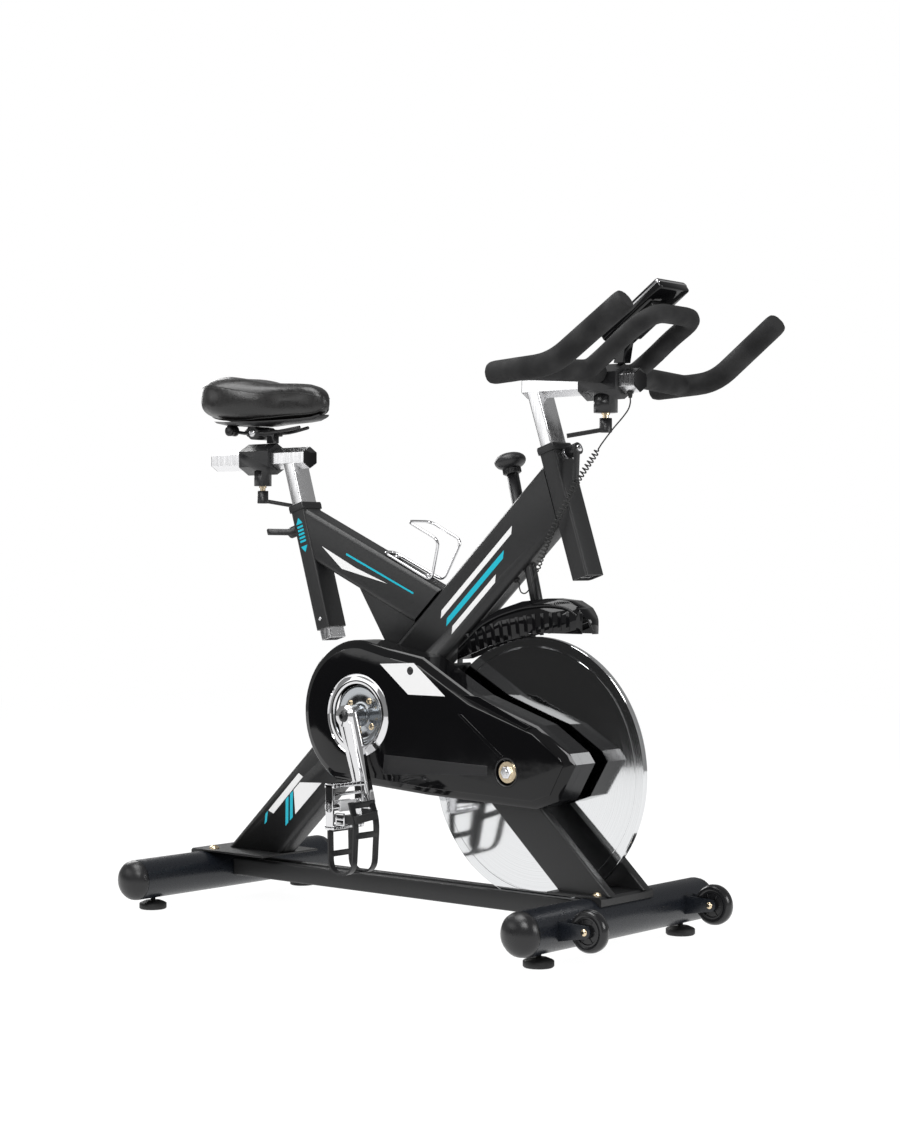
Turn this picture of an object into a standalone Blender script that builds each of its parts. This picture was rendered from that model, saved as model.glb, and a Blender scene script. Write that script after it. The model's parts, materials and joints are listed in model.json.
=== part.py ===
"""Indoor cycling bike: a steel frame on two stabilizers, a heavy flywheel driven by a belt, a saddle and a
handlebar that each slide on a six-sided rail, and a push-down friction brake.

Metres. +X points to the handlebar, -Y is the side of the belt cover, +Z is up. The origin is on the floor,
under the middle of the bike.
"""

from math import atan2, cos, hypot, pi, radians, sin

import bmesh
import bpy
from mathutils import Matrix, Vector

for leftover in list(bpy.data.objects):
    bpy.data.objects.remove(leftover, do_unlink=True)

# ---------------------------------------------------------------- driving dimensions
GAP = 0.0003                    # between two pieces that touch
UP = Vector((0, 0, 1))
SIDE = Vector((0, 1, 0))

FRONT_X = 0.4090                # middle of the front stabilizer; the rest is measured back from it
BASE_LENGTH = 0.988             # front to rear stabilizer
FOOT_TRACK = 0.433              # between the two levelling feet of a stabilizer
FOOT_R = 0.0275
FOOT_PAD_HEIGHT = 0.0165
FOOT_HEIGHT = 0.022             # floor to the underside of a stabilizer
STUD_R = 0.005
STABILIZER_R = 0.040
STABILIZER_WALL = 0.002
STABILIZER_HALF = 0.262
CAP_BULGE = 0.028
CAP_PLUG = 0.018

PLATE_THICKNESS = 0.004         # mount plates over the stabilizers
PLATE_HALF = 0.080
PLATE_NOSE = 0.034
FRONT_PLATE_REACH = 0.088
REAR_PLATE_REACH = 0.176
RAIL_TOP = 0.087                # two rails side by side, with the flywheel's rim running between them
RAIL_HEIGHT = 0.036
RAIL_WIDTH = 0.020
RAIL_SLOT = 0.020
STEEL_WALL = 0.0025

BEAM_POINT = (-0.098, 0.846)    # on the main beam's centre line, (x behind the front stabilizer, z)
BEAM_RISE = radians(42.9)
BEAM_HEIGHT = 0.106
BEAM_WIDTH = 0.050
SEAT_BEAM_POINT = (-0.654, 0.718)
SEAT_BEAM_FALL = radians(24.0)
SEAT_BEAM_HEIGHT = 0.088
GUSSET_REACH = 0.160
GUSSET_WIDTH = 0.034

SEAT_LEAN = radians(16.8)       # both posts lean back
HEAD_LEAN = radians(18.0)
SEAT_SLEEVE_FOOT = (-0.6965, 0.567)
SEAT_SLEEVE_LENGTH = 0.257
HEAD_SLEEVE_FOOT = (-0.0545, 0.671)
HEAD_SLEEVE_LENGTH = 0.252
POST_DEPTH = 0.028
POST_WIDTH = 0.046
POST_PLAY = 0.0008              # post to sleeve, each side
SLEEVE_WALL = 0.0035
POST_TAIL = 0.022               # what the seat post shows below its sleeve
POST_TRAVEL = 0.150

HEX_FLATS = 0.038               # six-sided rails under saddle and handlebar
HEX_WALL = 0.003
HEX_PLAY = 0.0005
SEAT_RAIL_Z = 0.912
SEAT_RAIL_BACK = -1.025
SEAT_RAIL_FRONT = -0.757
BAR_RAIL_Z = 1.025
BAR_RAIL_BACK = -0.193
BAR_RAIL_FRONT = 0.061
CARRIAGE_FLATS = 0.056
CARRIAGE_LENGTH = 0.084
SEAT_CARRIAGE_X = -0.892
BAR_CARRIAGE_X = -0.015
SEAT_BOSS_R = 0.018
BAR_BOSS_R = 0.022
BOSS_DROP = 0.055               # rail centre to the foot of the clamp boss
LEVER_REACH = 0.070
LEVER_HUB_R = 0.0115
LEVER_HUB_HEIGHT = 0.026
LEVER_NECK = 0.010              # bare screw between the boss and the hub
LEVER_SCREW_R = 0.005
LEVER_SLOPE = 0.012
HEAD_LEVER_SWING = radians(25.0)

CRANK_AXIS = (-0.540, 0.404)
CRANK_LENGTH = 0.170
CRANK_SWING = radians(17.0)     # right crank, forward of straight down
CRANK_AXLE_R = 0.0085
CRANK_INNER = 0.0925
CRANK_OUTER = 0.128
CRANK_THICKNESS = 0.015
CRANK_BOSS_R = 0.021
CRANK_EYE_R = 0.0155
SHELL_R = 0.022
SHELL_RIGHT = 0.028
SHELL_LEFT = 0.060
PEDAL_WIDTH = 0.086
PEDAL_LENGTH = 0.086
PEDAL_THICKNESS = 0.024
PEDAL_NECK = 0.011
CAGE_DROP = 0.084
CAGE_DEPTH = 0.056
CAGE_WIDTH = 0.070
CAGE_WIRE = 0.004

FLYWHEEL_AXIS = (-0.172, 0.316)
FLYWHEEL_R = 0.2455
FLYWHEEL_THICKNESS = 0.012
HUB_R = 0.028
HUB_HALF = 0.0255
AXLE_R = 0.0075
AXLE_END = 0.078
BELT_Y = -0.0345
BELT_WIDTH = 0.009
BELT_THICKNESS = 0.003
DRIVE_PULLEY_R = 0.095
FLYWHEEL_PULLEY_R = 0.027

FORK_FOOT = (-0.020, 0.110)     # on the fork legs' centre line
FORK_RISE = radians(137.0)
FORK_DEPTH = 0.080
FORK_INNER = 0.043
FORK_THICKNESS = 0.020
CROWN_THICKNESS = 0.006
CROWN_START = -0.002
CROWN_END = 0.040

COVER_FACE = -0.090             # outer face of the belt cover
COVER_SPLIT = -0.0633           # where the outer and inner covers meet
COVER_BACK = -0.0265
COVER_WALL = 0.0025
COVER_ROUND_R = 0.143
COVER_ROUND_AXIS = (-0.546, 0.406)
COVER_CHAMFER = 0.007
DISH_R = 0.058
DISH_HOLE_R = 0.061
NUT_HOLE_R = 0.024

FENDER_HALF = 0.023
FENDER_WALL = 0.0025
FENDER_NOSE = 0.030
BRAKE_FOOT = (-0.157, 0.561)    # where the brake rod's line meets the rim
BRAKE_LEAN = radians(13.6)
BRAKE_ROD_R = 0.0115
PAD_CLEARANCE = 0.0095
PAD_HEIGHT = 0.014
BRAKE_ROD_LENGTH = 0.288
KNOB_R = 0.030

WHEEL_X = 0.092
WHEEL_Z = 0.068
WHEEL_Y = 0.192
WHEEL_R = 0.0375
WHEEL_WIDTH = 0.022
WHEEL_PIN_R = 0.004

BAR_R = 0.0205                  # foam-covered handlebar
LOOP_R = 0.0175
BAR_Z = 1.041
HORN_Y = 0.246
LOOP_Y = 0.068
CONSOLE_CENTRE = (0.070, 1.146)
CONSOLE_TILT = radians(35.0)
CONSOLE_LENGTH = 0.155
CONSOLE_WIDTH = 0.090
CONSOLE_THICKNESS = 0.022

SADDLE_REAR = -1.014
SADDLE_NOSE = -0.708
SADDLE_WIDTH = 0.206
PILLAR_X = -0.863
PILLAR_R = 0.0125
CLAMP_X = -0.894                # the bolt across the saddle's clamp
CLAMP_Z = 0.9655
CLAMP_R = 0.0135
CLAMP_HALF = 0.028
RAIL_SPREAD = 0.021
SADDLE_RAIL_R = 0.0035

CORD_R = 0.0013
COIL_R = 0.0062
CORD_ENTRY_X = -0.213
CORD_ENTRY_Y = -0.010

# ---------------------------------------------------------------- finishes
FINISHES = {                    # colour, roughness, metallic
    "frame_paint": ((0.035, 0.036, 0.038), 0.45, 0.0),
    "tube_paint": ((0.022, 0.026, 0.032), 0.40, 0.0),
    "gloss_black": ((0.008, 0.008, 0.009), 0.08, 0.0),
    "matte_black": ((0.015, 0.015, 0.016), 0.55, 0.0),
    "foam": ((0.022, 0.022, 0.023), 0.90, 0.0),
    "leather": ((0.016, 0.015, 0.015), 0.38, 0.0),
    "rubber": ((0.012, 0.012, 0.012), 0.70, 0.0),
    "chrome": ((0.80, 0.80, 0.81), 0.08, 1.0),
    "steel": ((0.62, 0.62, 0.63), 0.22, 1.0),
    "aluminium": ((0.86, 0.87, 0.88), 0.25, 1.0),
}


def finish(name):
    """The finish's Principled material, made once."""
    found = bpy.data.materials.get(name)
    if found:
        return found
    colour, roughness, metallic = FINISHES[name]
    made = bpy.data.materials.new(name)
    made.use_nodes = True
    shader = made.node_tree.nodes["Principled BSDF"]
    shader.inputs["Base Color"].default_value = (*colour, 1.0)
    shader.inputs["Roughness"].default_value = roughness
    shader.inputs["Metallic"].default_value = metallic
    return made


# ---------------------------------------------------------------- places and outlines
def at(x, z, y=0.0):
    """A point given by its distance from the front stabilizer, its height and its side."""
    return Vector((FRONT_X + x, y, z))


def leaning(angle):
    """The upward direction of something that leans back by an angle."""
    return Vector((-sin(angle), 0, cos(angle)))


def rising(angle):
    """A direction in the bike's middle plane, measured up from +X."""
    return Vector((cos(angle), 0, sin(angle)))


def facing(direction, origin):
    """A matrix that carries local +Z to a direction and local +Y across it."""
    third = direction.normalized()
    across = UP if abs(third.dot(SIDE)) > 0.9 else SIDE
    first = across.cross(third).normalized()
    second = third.cross(first)
    turn = Matrix((first, second, third)).transposed().to_4x4()
    return Matrix.Translation(origin) @ turn


def arc(centre, radius, start, end, steps):
    """Points on a circle, in degrees, as (x, z) pairs."""
    turns = [radians(start + (end - start) * k / steps) for k in range(steps + 1)]
    return [(centre[0] + radius * cos(t), centre[1] + radius * sin(t)) for t in turns]


def rounded_box(height, width, radius, steps=3):
    """A rectangle with round corners, centred on nothing."""
    outline = []
    for corner, (su, sv) in enumerate(((1, 1), (-1, 1), (-1, -1), (1, -1))):
        centre = (su * (height / 2 - radius), sv * (width / 2 - radius))
        outline += arc(centre, radius, 90 * corner, 90 * corner + 90, steps)
    return outline


def hexagon(flats):
    """A six-sided outline that stands on a corner."""
    radius = flats / 2 / cos(pi / 6)
    return [(radius * sin(pi / 3 * k), radius * cos(pi / 3 * k)) for k in range(6)]


def filleted(points, radius, steps=5):
    """A run of 3-D points with every inner corner rounded."""
    run = [Vector(points[0])]
    for before, corner, after in zip(points, points[1:], points[2:]):
        before, corner, after = Vector(before), Vector(corner), Vector(after)
        back, onward = before - corner, after - corner
        reach = min(radius, back.length * 0.49, onward.length * 0.49)
        start, end = corner + back.normalized() * reach, corner + onward.normalized() * reach
        for k in range(steps + 1):
            t = k / steps
            run.append(start * (1 - t) ** 2 + corner * 2 * t * (1 - t) + end * t ** 2)
    return run + [Vector(points[-1])]


def inset(outline, distance):
    """A closed outline moved inwards; it runs anticlockwise."""
    moved = []
    for before, here, after in zip(outline[-1:] + outline, outline, outline[1:] + outline[:1]):
        first = Vector((here[0] - before[0], here[1] - before[1])).normalized()
        second = Vector((after[0] - here[0], after[1] - here[1])).normalized()
        left = Vector((-first.y - second.y, first.x + second.x))
        left = left / max(left.length_squared, 0.5) * 2
        moved.append((here[0] + left.x * distance, here[1] + left.y * distance))
    return moved


# ---------------------------------------------------------------- solids
def skin(loops, ring=False):
    """Walls between loops of points; a ring joins the last loop to the first, else both ends are closed."""
    bm = bmesh.new()
    rows = [[bm.verts.new(point) for point in loop] for loop in loops]
    pairs = list(zip(rows, rows[1:]))
    if ring:
        pairs.append((rows[-1], rows[0]))
    else:
        bm.faces.new(reversed(rows[0]))
        bm.faces.new(rows[-1])
    for low, high in pairs:
        for k in range(len(low)):
            after = (k + 1) % len(low)
            bm.faces.new((low[k], low[after], high[after], high[k]))
    return bm


def beam(foot, head, outer, inner=None, foot_normal=None, head_normal=None, across=SIDE):
    """A straight tube or bar between two end planes; outlines are (depth in the middle plane, width)."""
    run = (head - foot).normalized()
    normal = across.cross(run).normalized()
    ends = ((foot, foot_normal or run), (head, head_normal or run))

    def loop(outline, end):
        centre, plane = end
        spots = []
        for u, v in outline:
            offset = normal * u + across * v
            spots.append(centre + offset - run * (offset.dot(plane) / run.dot(plane)))
        return spots

    if inner is None:
        return skin([loop(outer, ends[0]), loop(outer, ends[1])])
    return skin([loop(outer, ends[0]), loop(outer, ends[1]), loop(inner, ends[1]), loop(inner, ends[0])], True)


def steel_tube(foot, head, height, width, wall=STEEL_WALL, radius=0.010, **planes):
    """A hollow rectangular steel tube."""
    outer = rounded_box(height, width, radius)
    inner = rounded_box(height - 2 * wall, width - 2 * wall, max(radius - wall, 0.001))
    return beam(foot, head, outer, inner, **planes)


def slab(outline, near_y, far_y):
    """A flat piece cut to an outline of (x, z) points, between two Y planes."""
    bm = bmesh.new()
    face = bm.faces.new([bm.verts.new((x, near_y, z)) for x, z in outline])
    grown = bmesh.ops.extrude_face_region(bm, geom=[face])["geom"]
    moved = [item for item in grown if isinstance(item, bmesh.types.BMVert)]
    bmesh.ops.translate(bm, vec=(0, far_y - near_y, 0), verts=moved)
    return bm


def turned(profile, direction, origin, steps=32):
    """A piece turned about a direction; the profile is (radius, distance along it) points."""
    bm = bmesh.new()
    corners = [bm.verts.new((radius, 0, along)) for radius, along in profile]
    edges = [bm.edges.new(pair) for pair in zip(corners, corners[1:])]
    if profile[0][0] > 0:
        edges.append(bm.edges.new((corners[-1], corners[0])))
    bmesh.ops.spin(bm, geom=corners + edges, axis=(0, 0, 1), angle=2 * pi, steps=steps, use_merge=True)
    bm.transform(facing(direction, origin))
    return bm


def rod(radius, low, high, direction, origin, steps=24):
    """A plain round bar between two distances along a direction."""
    return turned([(0, low), (radius, low), (radius, high), (0, high)], direction, origin, steps)


def block(size, matrix, bevel=0.0):
    """A box with softened edges."""
    bm = bmesh.new()
    bmesh.ops.create_cube(bm, size=1.0, matrix=Matrix.Diagonal((*size, 1)))
    if bevel:
        bmesh.ops.bevel(bm, geom=bm.edges[:], offset=bevel, segments=2, profile=0.5, affect="EDGES", material=-1)
    bm.transform(matrix)
    return bm


def add(name, bm, finish_name, smooth=35):
    """One sub-part, from a closed mesh."""
    bmesh.ops.remove_doubles(bm, verts=bm.verts, dist=0.000001)
    bmesh.ops.recalc_face_normals(bm, faces=bm.faces)
    mesh = bpy.data.meshes.new(name)
    bm.to_mesh(mesh)
    bm.free()
    mesh.shade_smooth()
    mesh.set_sharp_from_angle(angle=radians(smooth))
    mesh.materials.append(finish(finish_name))
    made = bpy.data.objects.new(name, mesh)
    bpy.context.scene.collection.objects.link(made)
    return made


def tube(points, radius, round_ends=0.0, sides=16):
    """A solid round tube that follows points in space; its ends may be rounded off over a length."""
    stations = [(Vector(point), radius) for point in points]
    if round_ends:
        for end, after in ((0, 1), (-1, -2)):
            tip, inward = stations[end][0], (stations[after][0] - stations[end][0]).normalized()
            dome = [(tip + inward * round_ends * (1 - sin(t)), radius * max(cos(pi / 2 - t), 0.3))
                    for t in (0.30, 0.75, 1.15)]
            stations = dome + [(tip + inward * round_ends, radius)] + stations[1:] if end == 0 else \
                stations[:-1] + [(tip + inward * round_ends, radius)] + dome[::-1]
    loops, normal = [], None
    for k, (centre, size) in enumerate(stations):
        before, after = stations[max(k - 1, 0)][0], stations[min(k + 1, len(stations) - 1)][0]
        run = (after - before).normalized()
        normal = normal or (UP if abs(run.z) < 0.7 else SIDE)
        normal = (normal - run * normal.dot(run)).normalized()
        binormal = run.cross(normal)
        turns = [2 * pi * step / sides for step in range(sides)]
        loops.append([centre + (normal * cos(t) + binormal * sin(t)) * size for t in turns])
    return skin(loops)


def wire(name, points, radius, finish_name, closed=False, sides=1):
    """A round wire or cord along points, as a bevelled curve with filled ends."""
    curve = bpy.data.curves.new(name, "CURVE")
    curve.dimensions = "3D"
    curve.bevel_depth = radius
    curve.bevel_resolution = sides
    curve.use_fill_caps = True
    spline = curve.splines.new("POLY")
    spline.points.add(len(points) - 1)
    for k, point in enumerate(points):
        spline.points[k].co = (*point, 1.0)
    spline.use_cyclic_u = closed
    curve.materials.append(finish(finish_name))
    made = bpy.data.objects.new(name, curve)
    bpy.context.scene.collection.objects.link(made)
    return made


def combine(target, bm, operation):
    """Weld a solid to a sub-part (UNION) or cut it away (DIFFERENCE), with a hidden tool."""
    tool = add(f"{target.name}_tool", bm, "steel")
    tool.hide_render = True
    tool.display_type = "WIRE"
    step = target.modifiers.new(operation.title(), "BOOLEAN")
    step.operation = operation
    step.solver = "EXACT"
    step.object = tool
    return target


def weld(target, bm):
    return combine(target, bm, "UNION")


def cut(target, bm):
    return combine(target, bm, "DIFFERENCE")


def pivot(name, origin, pieces):
    """An empty on a joint's axis, which carries the pieces that move there."""
    empty = bpy.data.objects.new(name, None)
    empty.location = origin
    empty.empty_display_size = 0.03
    bpy.context.scene.collection.objects.link(empty)
    for piece in pieces:
        piece.parent = empty
        piece.matrix_parent_inverse = Matrix.Translation(-Vector(origin))
    return empty


# ---------------------------------------------------------------- levels that several pieces share
REAR_X = -BASE_LENGTH
STABILIZER_Z = FOOT_HEIGHT + STABILIZER_R
PLATE_UNDER = STABILIZER_Z + STABILIZER_R + GAP
PLATE_TOP = PLATE_UNDER + PLATE_THICKNESS
WELD_Z = PLATE_TOP + GAP
BEAM_DIR = rising(BEAM_RISE)
BEAM_UP = leaning(BEAM_RISE)
SEAT_UP = leaning(SEAT_LEAN)
HEAD_UP = leaning(HEAD_LEAN)
SEAT_FRONT = rising(SEAT_LEAN)
HEAD_FRONT = rising(HEAD_LEAN)
FORK_DIR = rising(FORK_RISE)
SLEEVE_DEPTH = POST_DEPTH + 2 * (POST_PLAY + SLEEVE_WALL)
SLEEVE_WIDTH = POST_WIDTH + 2 * (POST_PLAY + SLEEVE_WALL)


def meet(point, direction, plane_point, plane_normal):
    """Where a line crosses a plane."""
    reach = (plane_point - point).dot(plane_normal) / direction.dot(plane_normal)
    return point + direction * reach


# ---------------------------------------------------------------- base
def stabilizer(name, x):
    """A round steel tube across the floor, open at both ends."""
    ring = arc((0, 0), STABILIZER_R, 0, 360, 28)[:-1]
    bore = arc((0, 0), STABILIZER_R - STABILIZER_WALL, 0, 360, 28)[:-1]
    half = SIDE * STABILIZER_HALF
    return add(name, beam(at(x, STABILIZER_Z) - half, at(x, STABILIZER_Z) + half, ring, bore, across=UP), "tube_paint")


def stabilizer_cap(name, x, side):
    """A domed plastic cap with a plug that sits in the tube's end."""
    plug_r = STABILIZER_R - STABILIZER_WALL - GAP
    face = GAP
    profile = [(0, -CAP_PLUG), (plug_r, -CAP_PLUG), (plug_r, face), (STABILIZER_R, face)]
    for k in range(1, 6):
        turn = pi / 2 * k / 5
        profile.append((STABILIZER_R * cos(turn), face + 0.003 + CAP_BULGE * sin(turn)))
    profile[-1] = (0, profile[-1][1])
    profile.insert(4, (STABILIZER_R, face + 0.003))
    origin = at(x, STABILIZER_Z, side * STABILIZER_HALF)
    return add(name, turned(profile, SIDE * side, origin, 28), "matte_black", 50)


def mount_plate(name, x, inward, reach):
    """A plate that lies over a stabilizer and carries the frame."""
    nose = arc((0, 0), STABILIZER_R + GAP, 90, 40, 6)
    outline = [(-reach, PLATE_UNDER - STABILIZER_Z)] + nose
    outline += [((STABILIZER_R + 0.004) * cos(radians(40)), (STABILIZER_R + 0.004) * sin(radians(40)))]
    outline += [(PLATE_NOSE, PLATE_TOP - STABILIZER_Z - 0.004), (PLATE_NOSE - 0.004, PLATE_TOP - STABILIZER_Z)]
    outline += [(-reach, PLATE_TOP - STABILIZER_Z)]
    placed = [(FRONT_X + x + inward * u, STABILIZER_Z + w) for u, w in outline]
    return add(name, slab(placed, -PLATE_HALF, PLATE_HALF), "frame_paint")


def foot(name, x, y):
    """A levelling foot: a rubber pad on a threaded stud."""
    top = FOOT_HEIGHT - GAP
    profile = [(0, 0), (FOOT_R - 0.002, 0), (FOOT_R, 0.002), (FOOT_R, 0.011), (FOOT_R - 0.003, 0.013),
               (0.016, FOOT_PAD_HEIGHT), (STUD_R, FOOT_PAD_HEIGHT), (STUD_R, top), (0, top)]
    made = add(name, turned(profile, UP, at(x, 0, y), 20), "rubber", 50)
    pivot(f"{name}_axis", at(x, 0, y), [made])


def transport_wheel(name, side):
    """A roller with a ribbed hub, on a pin between two ears."""
    half = WHEEL_WIDTH / 2
    bore = WHEEL_PIN_R + 0.0004
    profile = [(bore, -half), (0.020, -half), (0.022, -half + 0.002), (0.026, -half + 0.002),
               (WHEEL_R - 0.006, -half), (WHEEL_R - 0.001, -half + 0.005), (WHEEL_R, 0),
               (WHEEL_R - 0.001, half - 0.005), (WHEEL_R - 0.006, half), (0.026, half - 0.002),
               (0.022, half - 0.002), (0.020, half), (bore, half)]
    axle = at(WHEEL_X, WHEEL_Z, side * WHEEL_Y)
    made = add(name, turned(profile, SIDE, axle, 24), "rubber", 50)
    pivot(f"{name}_axis", axle, [made])


def wheel_ears(front):
    """Two ears and a pin for each transport wheel, welded to the front stabilizer."""
    root = STABILIZER_R - STABILIZER_WALL / 2
    ear = 0.004
    for side in (-1, 1):
        for flank in (-1, 1):
            near = side * WHEEL_Y + flank * (WHEEL_WIDTH / 2 + 0.0015 + ear / 2)
            tip = arc((WHEEL_X, WHEEL_Z), 0.012, 80, -100, 8)
            outline = [(root * 0.85, STABILIZER_Z - root * 0.4)] + tip[::-1] + [(root * 0.85, STABILIZER_Z + root * 0.5)]
            placed = [(FRONT_X + x, z) for x, z in outline]
            weld(front, slab(placed, near - ear / 2, near + ear / 2))
        reach = WHEEL_WIDTH / 2 + 0.0015 + ear + 0.004
        weld(front, rod(WHEEL_PIN_R, -reach, reach, SIDE, at(WHEEL_X, WHEEL_Z, side * WHEEL_Y), 16))


def build_base():
    front = stabilizer("front_stabilizer", 0)
    wheel_ears(front)
    stabilizer("rear_stabilizer", REAR_X)
    for where, x in (("front", 0), ("rear", REAR_X)):
        for hand, side in (("right", -1), ("left", 1)):
            stabilizer_cap(f"{where}_cap_{hand}", x, side)
            foot(f"{where}_foot_{hand}", x, side * FOOT_TRACK / 2)
    plate = mount_plate("front_mount_plate", 0, 1, FRONT_PLATE_REACH)
    slot = (FRONT_PLATE_REACH, RAIL_SLOT, 0.04)
    cut(plate, block(slot, Matrix.Translation(at(-STABILIZER_R - GAP - FRONT_PLATE_REACH / 2, PLATE_TOP))))
    mount_plate("rear_mount_plate", REAR_X, -1, REAR_PLATE_REACH)
    for hand, side in (("right", -1), ("left", 1)):
        transport_wheel(f"transport_wheel_{hand}", side)
    level = RAIL_TOP - RAIL_HEIGHT / 2
    end = STABILIZER_R + GAP
    for hand, side in (("right", -1), ("left", 1)):
        y = side * (RAIL_SLOT + RAIL_WIDTH) / 2
        add(f"bottom_rail_{hand}", steel_tube(at(REAR_X + end, level, y), at(-end, level, y), RAIL_HEIGHT, RAIL_WIDTH,
                                              radius=0.004), "frame_paint")


# ---------------------------------------------------------------- frame
def brake_line(distance, y=0.0):
    """A point on the brake rod's axis, measured up from the flywheel's rim."""
    point = at(*BRAKE_FOOT) + leaning(BRAKE_LEAN) * distance
    return Vector((point.x, y, point.z))


def main_beam():
    """The long beam from the rear plate up to the head sleeve, with the crank shell welded in."""
    centre = at(*BEAM_POINT)
    low = meet(centre, BEAM_DIR, Vector((0, 0, WELD_Z)), UP)
    sleeve_face = at(*HEAD_SLEEVE_FOOT) - HEAD_FRONT * (SLEEVE_DEPTH / 2 + GAP)
    high = meet(centre, BEAM_DIR, sleeve_face, HEAD_FRONT)
    made = add("main_beam", steel_tube(low, high, BEAM_HEIGHT, BEAM_WIDTH, radius=0.012,
                                       foot_normal=UP, head_normal=HEAD_FRONT), "frame_paint")
    axis = at(*CRANK_AXIS)
    weld(made, rod(SHELL_R, -SHELL_RIGHT, SHELL_LEFT, SIDE, axis, 32))
    cut(made, rod(CRANK_AXLE_R + 0.0006, -0.1, 0.1, SIDE, axis, 24))
    cut(made, rod(BRAKE_ROD_R + 0.0006, 0.05, 0.33, leaning(BRAKE_LEAN), at(*BRAKE_FOOT), 24))
    cut(made, rod(CORD_R + 0.0022, -0.006, 0.006, BEAM_UP, cord_entry(), 16))


def seat_beam():
    """The short beam from the seat sleeve down to the main beam, with its gusset."""
    centre = at(*SEAT_BEAM_POINT)
    run = rising(-SEAT_BEAM_FALL)
    sleeve_face = at(*SEAT_SLEEVE_FOOT) + SEAT_FRONT * (SLEEVE_DEPTH / 2 + GAP)
    beam_top = at(*BEAM_POINT) + BEAM_UP * (BEAM_HEIGHT / 2 + GAP)
    low, high = meet(centre, run, sleeve_face, SEAT_FRONT), meet(centre, run, beam_top, BEAM_UP)
    made = add("seat_beam", steel_tube(low, high, SEAT_BEAM_HEIGHT, BEAM_WIDTH, radius=0.012,
                                       foot_normal=SEAT_FRONT, head_normal=BEAM_UP), "frame_paint")
    under = centre - leaning(-SEAT_BEAM_FALL) * (SEAT_BEAM_HEIGHT / 2 - STEEL_WALL / 2)
    corner = meet(under, run, beam_top, BEAM_UP)
    back, down = corner - run * GUSSET_REACH, corner - BEAM_DIR * GUSSET_REACH * 0.55
    outline = [(point.x, point.z) for point in (corner + BEAM_UP * 0.0001, back, down + BEAM_UP * 0.0001)]
    weld(made, slab(outline, -GUSSET_WIDTH / 2, GUSSET_WIDTH / 2))


def sleeve(name, foot_xz, length, up):
    """An open steel sleeve that a post slides in."""
    low = at(*foot_xz)
    outer = rounded_box(SLEEVE_DEPTH, SLEEVE_WIDTH, 0.006)
    inner = rounded_box(POST_DEPTH + 2 * POST_PLAY, POST_WIDTH + 2 * POST_PLAY, 0.004)
    add(name, beam(low, low + up * length, outer, inner), "frame_paint")


def fork():
    """Two legs from the front plate to a crown plate under the main beam, with a dropout each."""
    foot_point = at(*FORK_FOOT)
    under = at(*BEAM_POINT) - BEAM_UP * (BEAM_HEIGHT / 2 + GAP)
    crown_under = under - BEAM_UP * (CROWN_THICKNESS + GAP)
    low = meet(foot_point, FORK_DIR, Vector((0, 0, WELD_Z)), UP)
    high = meet(foot_point, FORK_DIR, crown_under, BEAM_UP)
    axle = at(*FLYWHEEL_AXIS)
    forward = rising(FORK_RISE - pi / 2)
    beside = low + FORK_DIR * (axle - low).dot(FORK_DIR)
    for hand, side in (("right", -1), ("left", 1)):
        shift = SIDE * side * (FORK_INNER + FORK_THICKNESS / 2)
        made = add(f"fork_leg_{hand}", steel_tube(low + shift, high + shift, FORK_DEPTH, FORK_THICKNESS, radius=0.004,
                                                  foot_normal=UP, head_normal=BEAM_UP), "frame_paint")
        root = beside + forward * (FORK_DEPTH / 2 - 0.014)
        start, end = root - FORK_DIR * 0.040, root + FORK_DIR * 0.040
        turn = FORK_RISE * 180 / pi - 90
        round_end = arc((axle.x, axle.z), 0.020, turn - 80, turn + 80, 10)
        outline = [(start.x, start.z)] + round_end + [(end.x, end.z)]
        middle = side * (FORK_INNER + FORK_THICKNESS / 2)
        half = FORK_THICKNESS / 2 - 0.0005
        weld(made, slab(outline, middle - half, middle + half))
        cut(made, rod(AXLE_R + 0.0005, -0.1, 0.1, SIDE, axle, 24))
    start = meet(foot_point, FORK_DIR, under, BEAM_UP)
    corners = [(CROWN_START, 0), (CROWN_END, 0), (CROWN_END, -CROWN_THICKNESS), (CROWN_START, -CROWN_THICKNESS)]
    outline = [start + BEAM_DIR * u + BEAM_UP * w for u, w in corners]
    reach = FORK_INNER + FORK_THICKNESS
    add("fork_crown", slab([(p.x, p.z) for p in outline], -reach, reach), "frame_paint")


def bottle_cage():
    """A chromed wire that lies on the seat beam, stands up at its low end and reaches back over the bottle."""
    run = rising(-SEAT_BEAM_FALL)
    over = leaning(-SEAT_BEAM_FALL)
    wire_r = 0.003
    base = at(*SEAT_BEAM_POINT) + over * (SEAT_BEAM_HEIGHT / 2 + wire_r + GAP)
    side_view = [(0.102, 0.0, 0.016), (0.240, 0.0, 0.018), (0.238, 0.084, 0.034), (0.150, 0.086, 0.034)]
    right = [base + run * u + over * w - SIDE * y for u, w, y in side_view]
    left = [Vector((p.x, -p.y, p.z)) for p in reversed(right)]
    hoop = right + left
    closed = filleted([hoop[-1]] + hoop + [hoop[0]], 0.016, 4)[1:-1]
    wire("bottle_cage", closed, wire_r, "chrome", closed=True, sides=2)


def build_frame():
    main_beam()
    seat_beam()
    sleeve("seat_sleeve", SEAT_SLEEVE_FOOT, SEAT_SLEEVE_LENGTH, SEAT_UP)
    sleeve("head_sleeve", HEAD_SLEEVE_FOOT, HEAD_SLEEVE_LENGTH, HEAD_UP)
    fork()
    bottle_cage()


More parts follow.
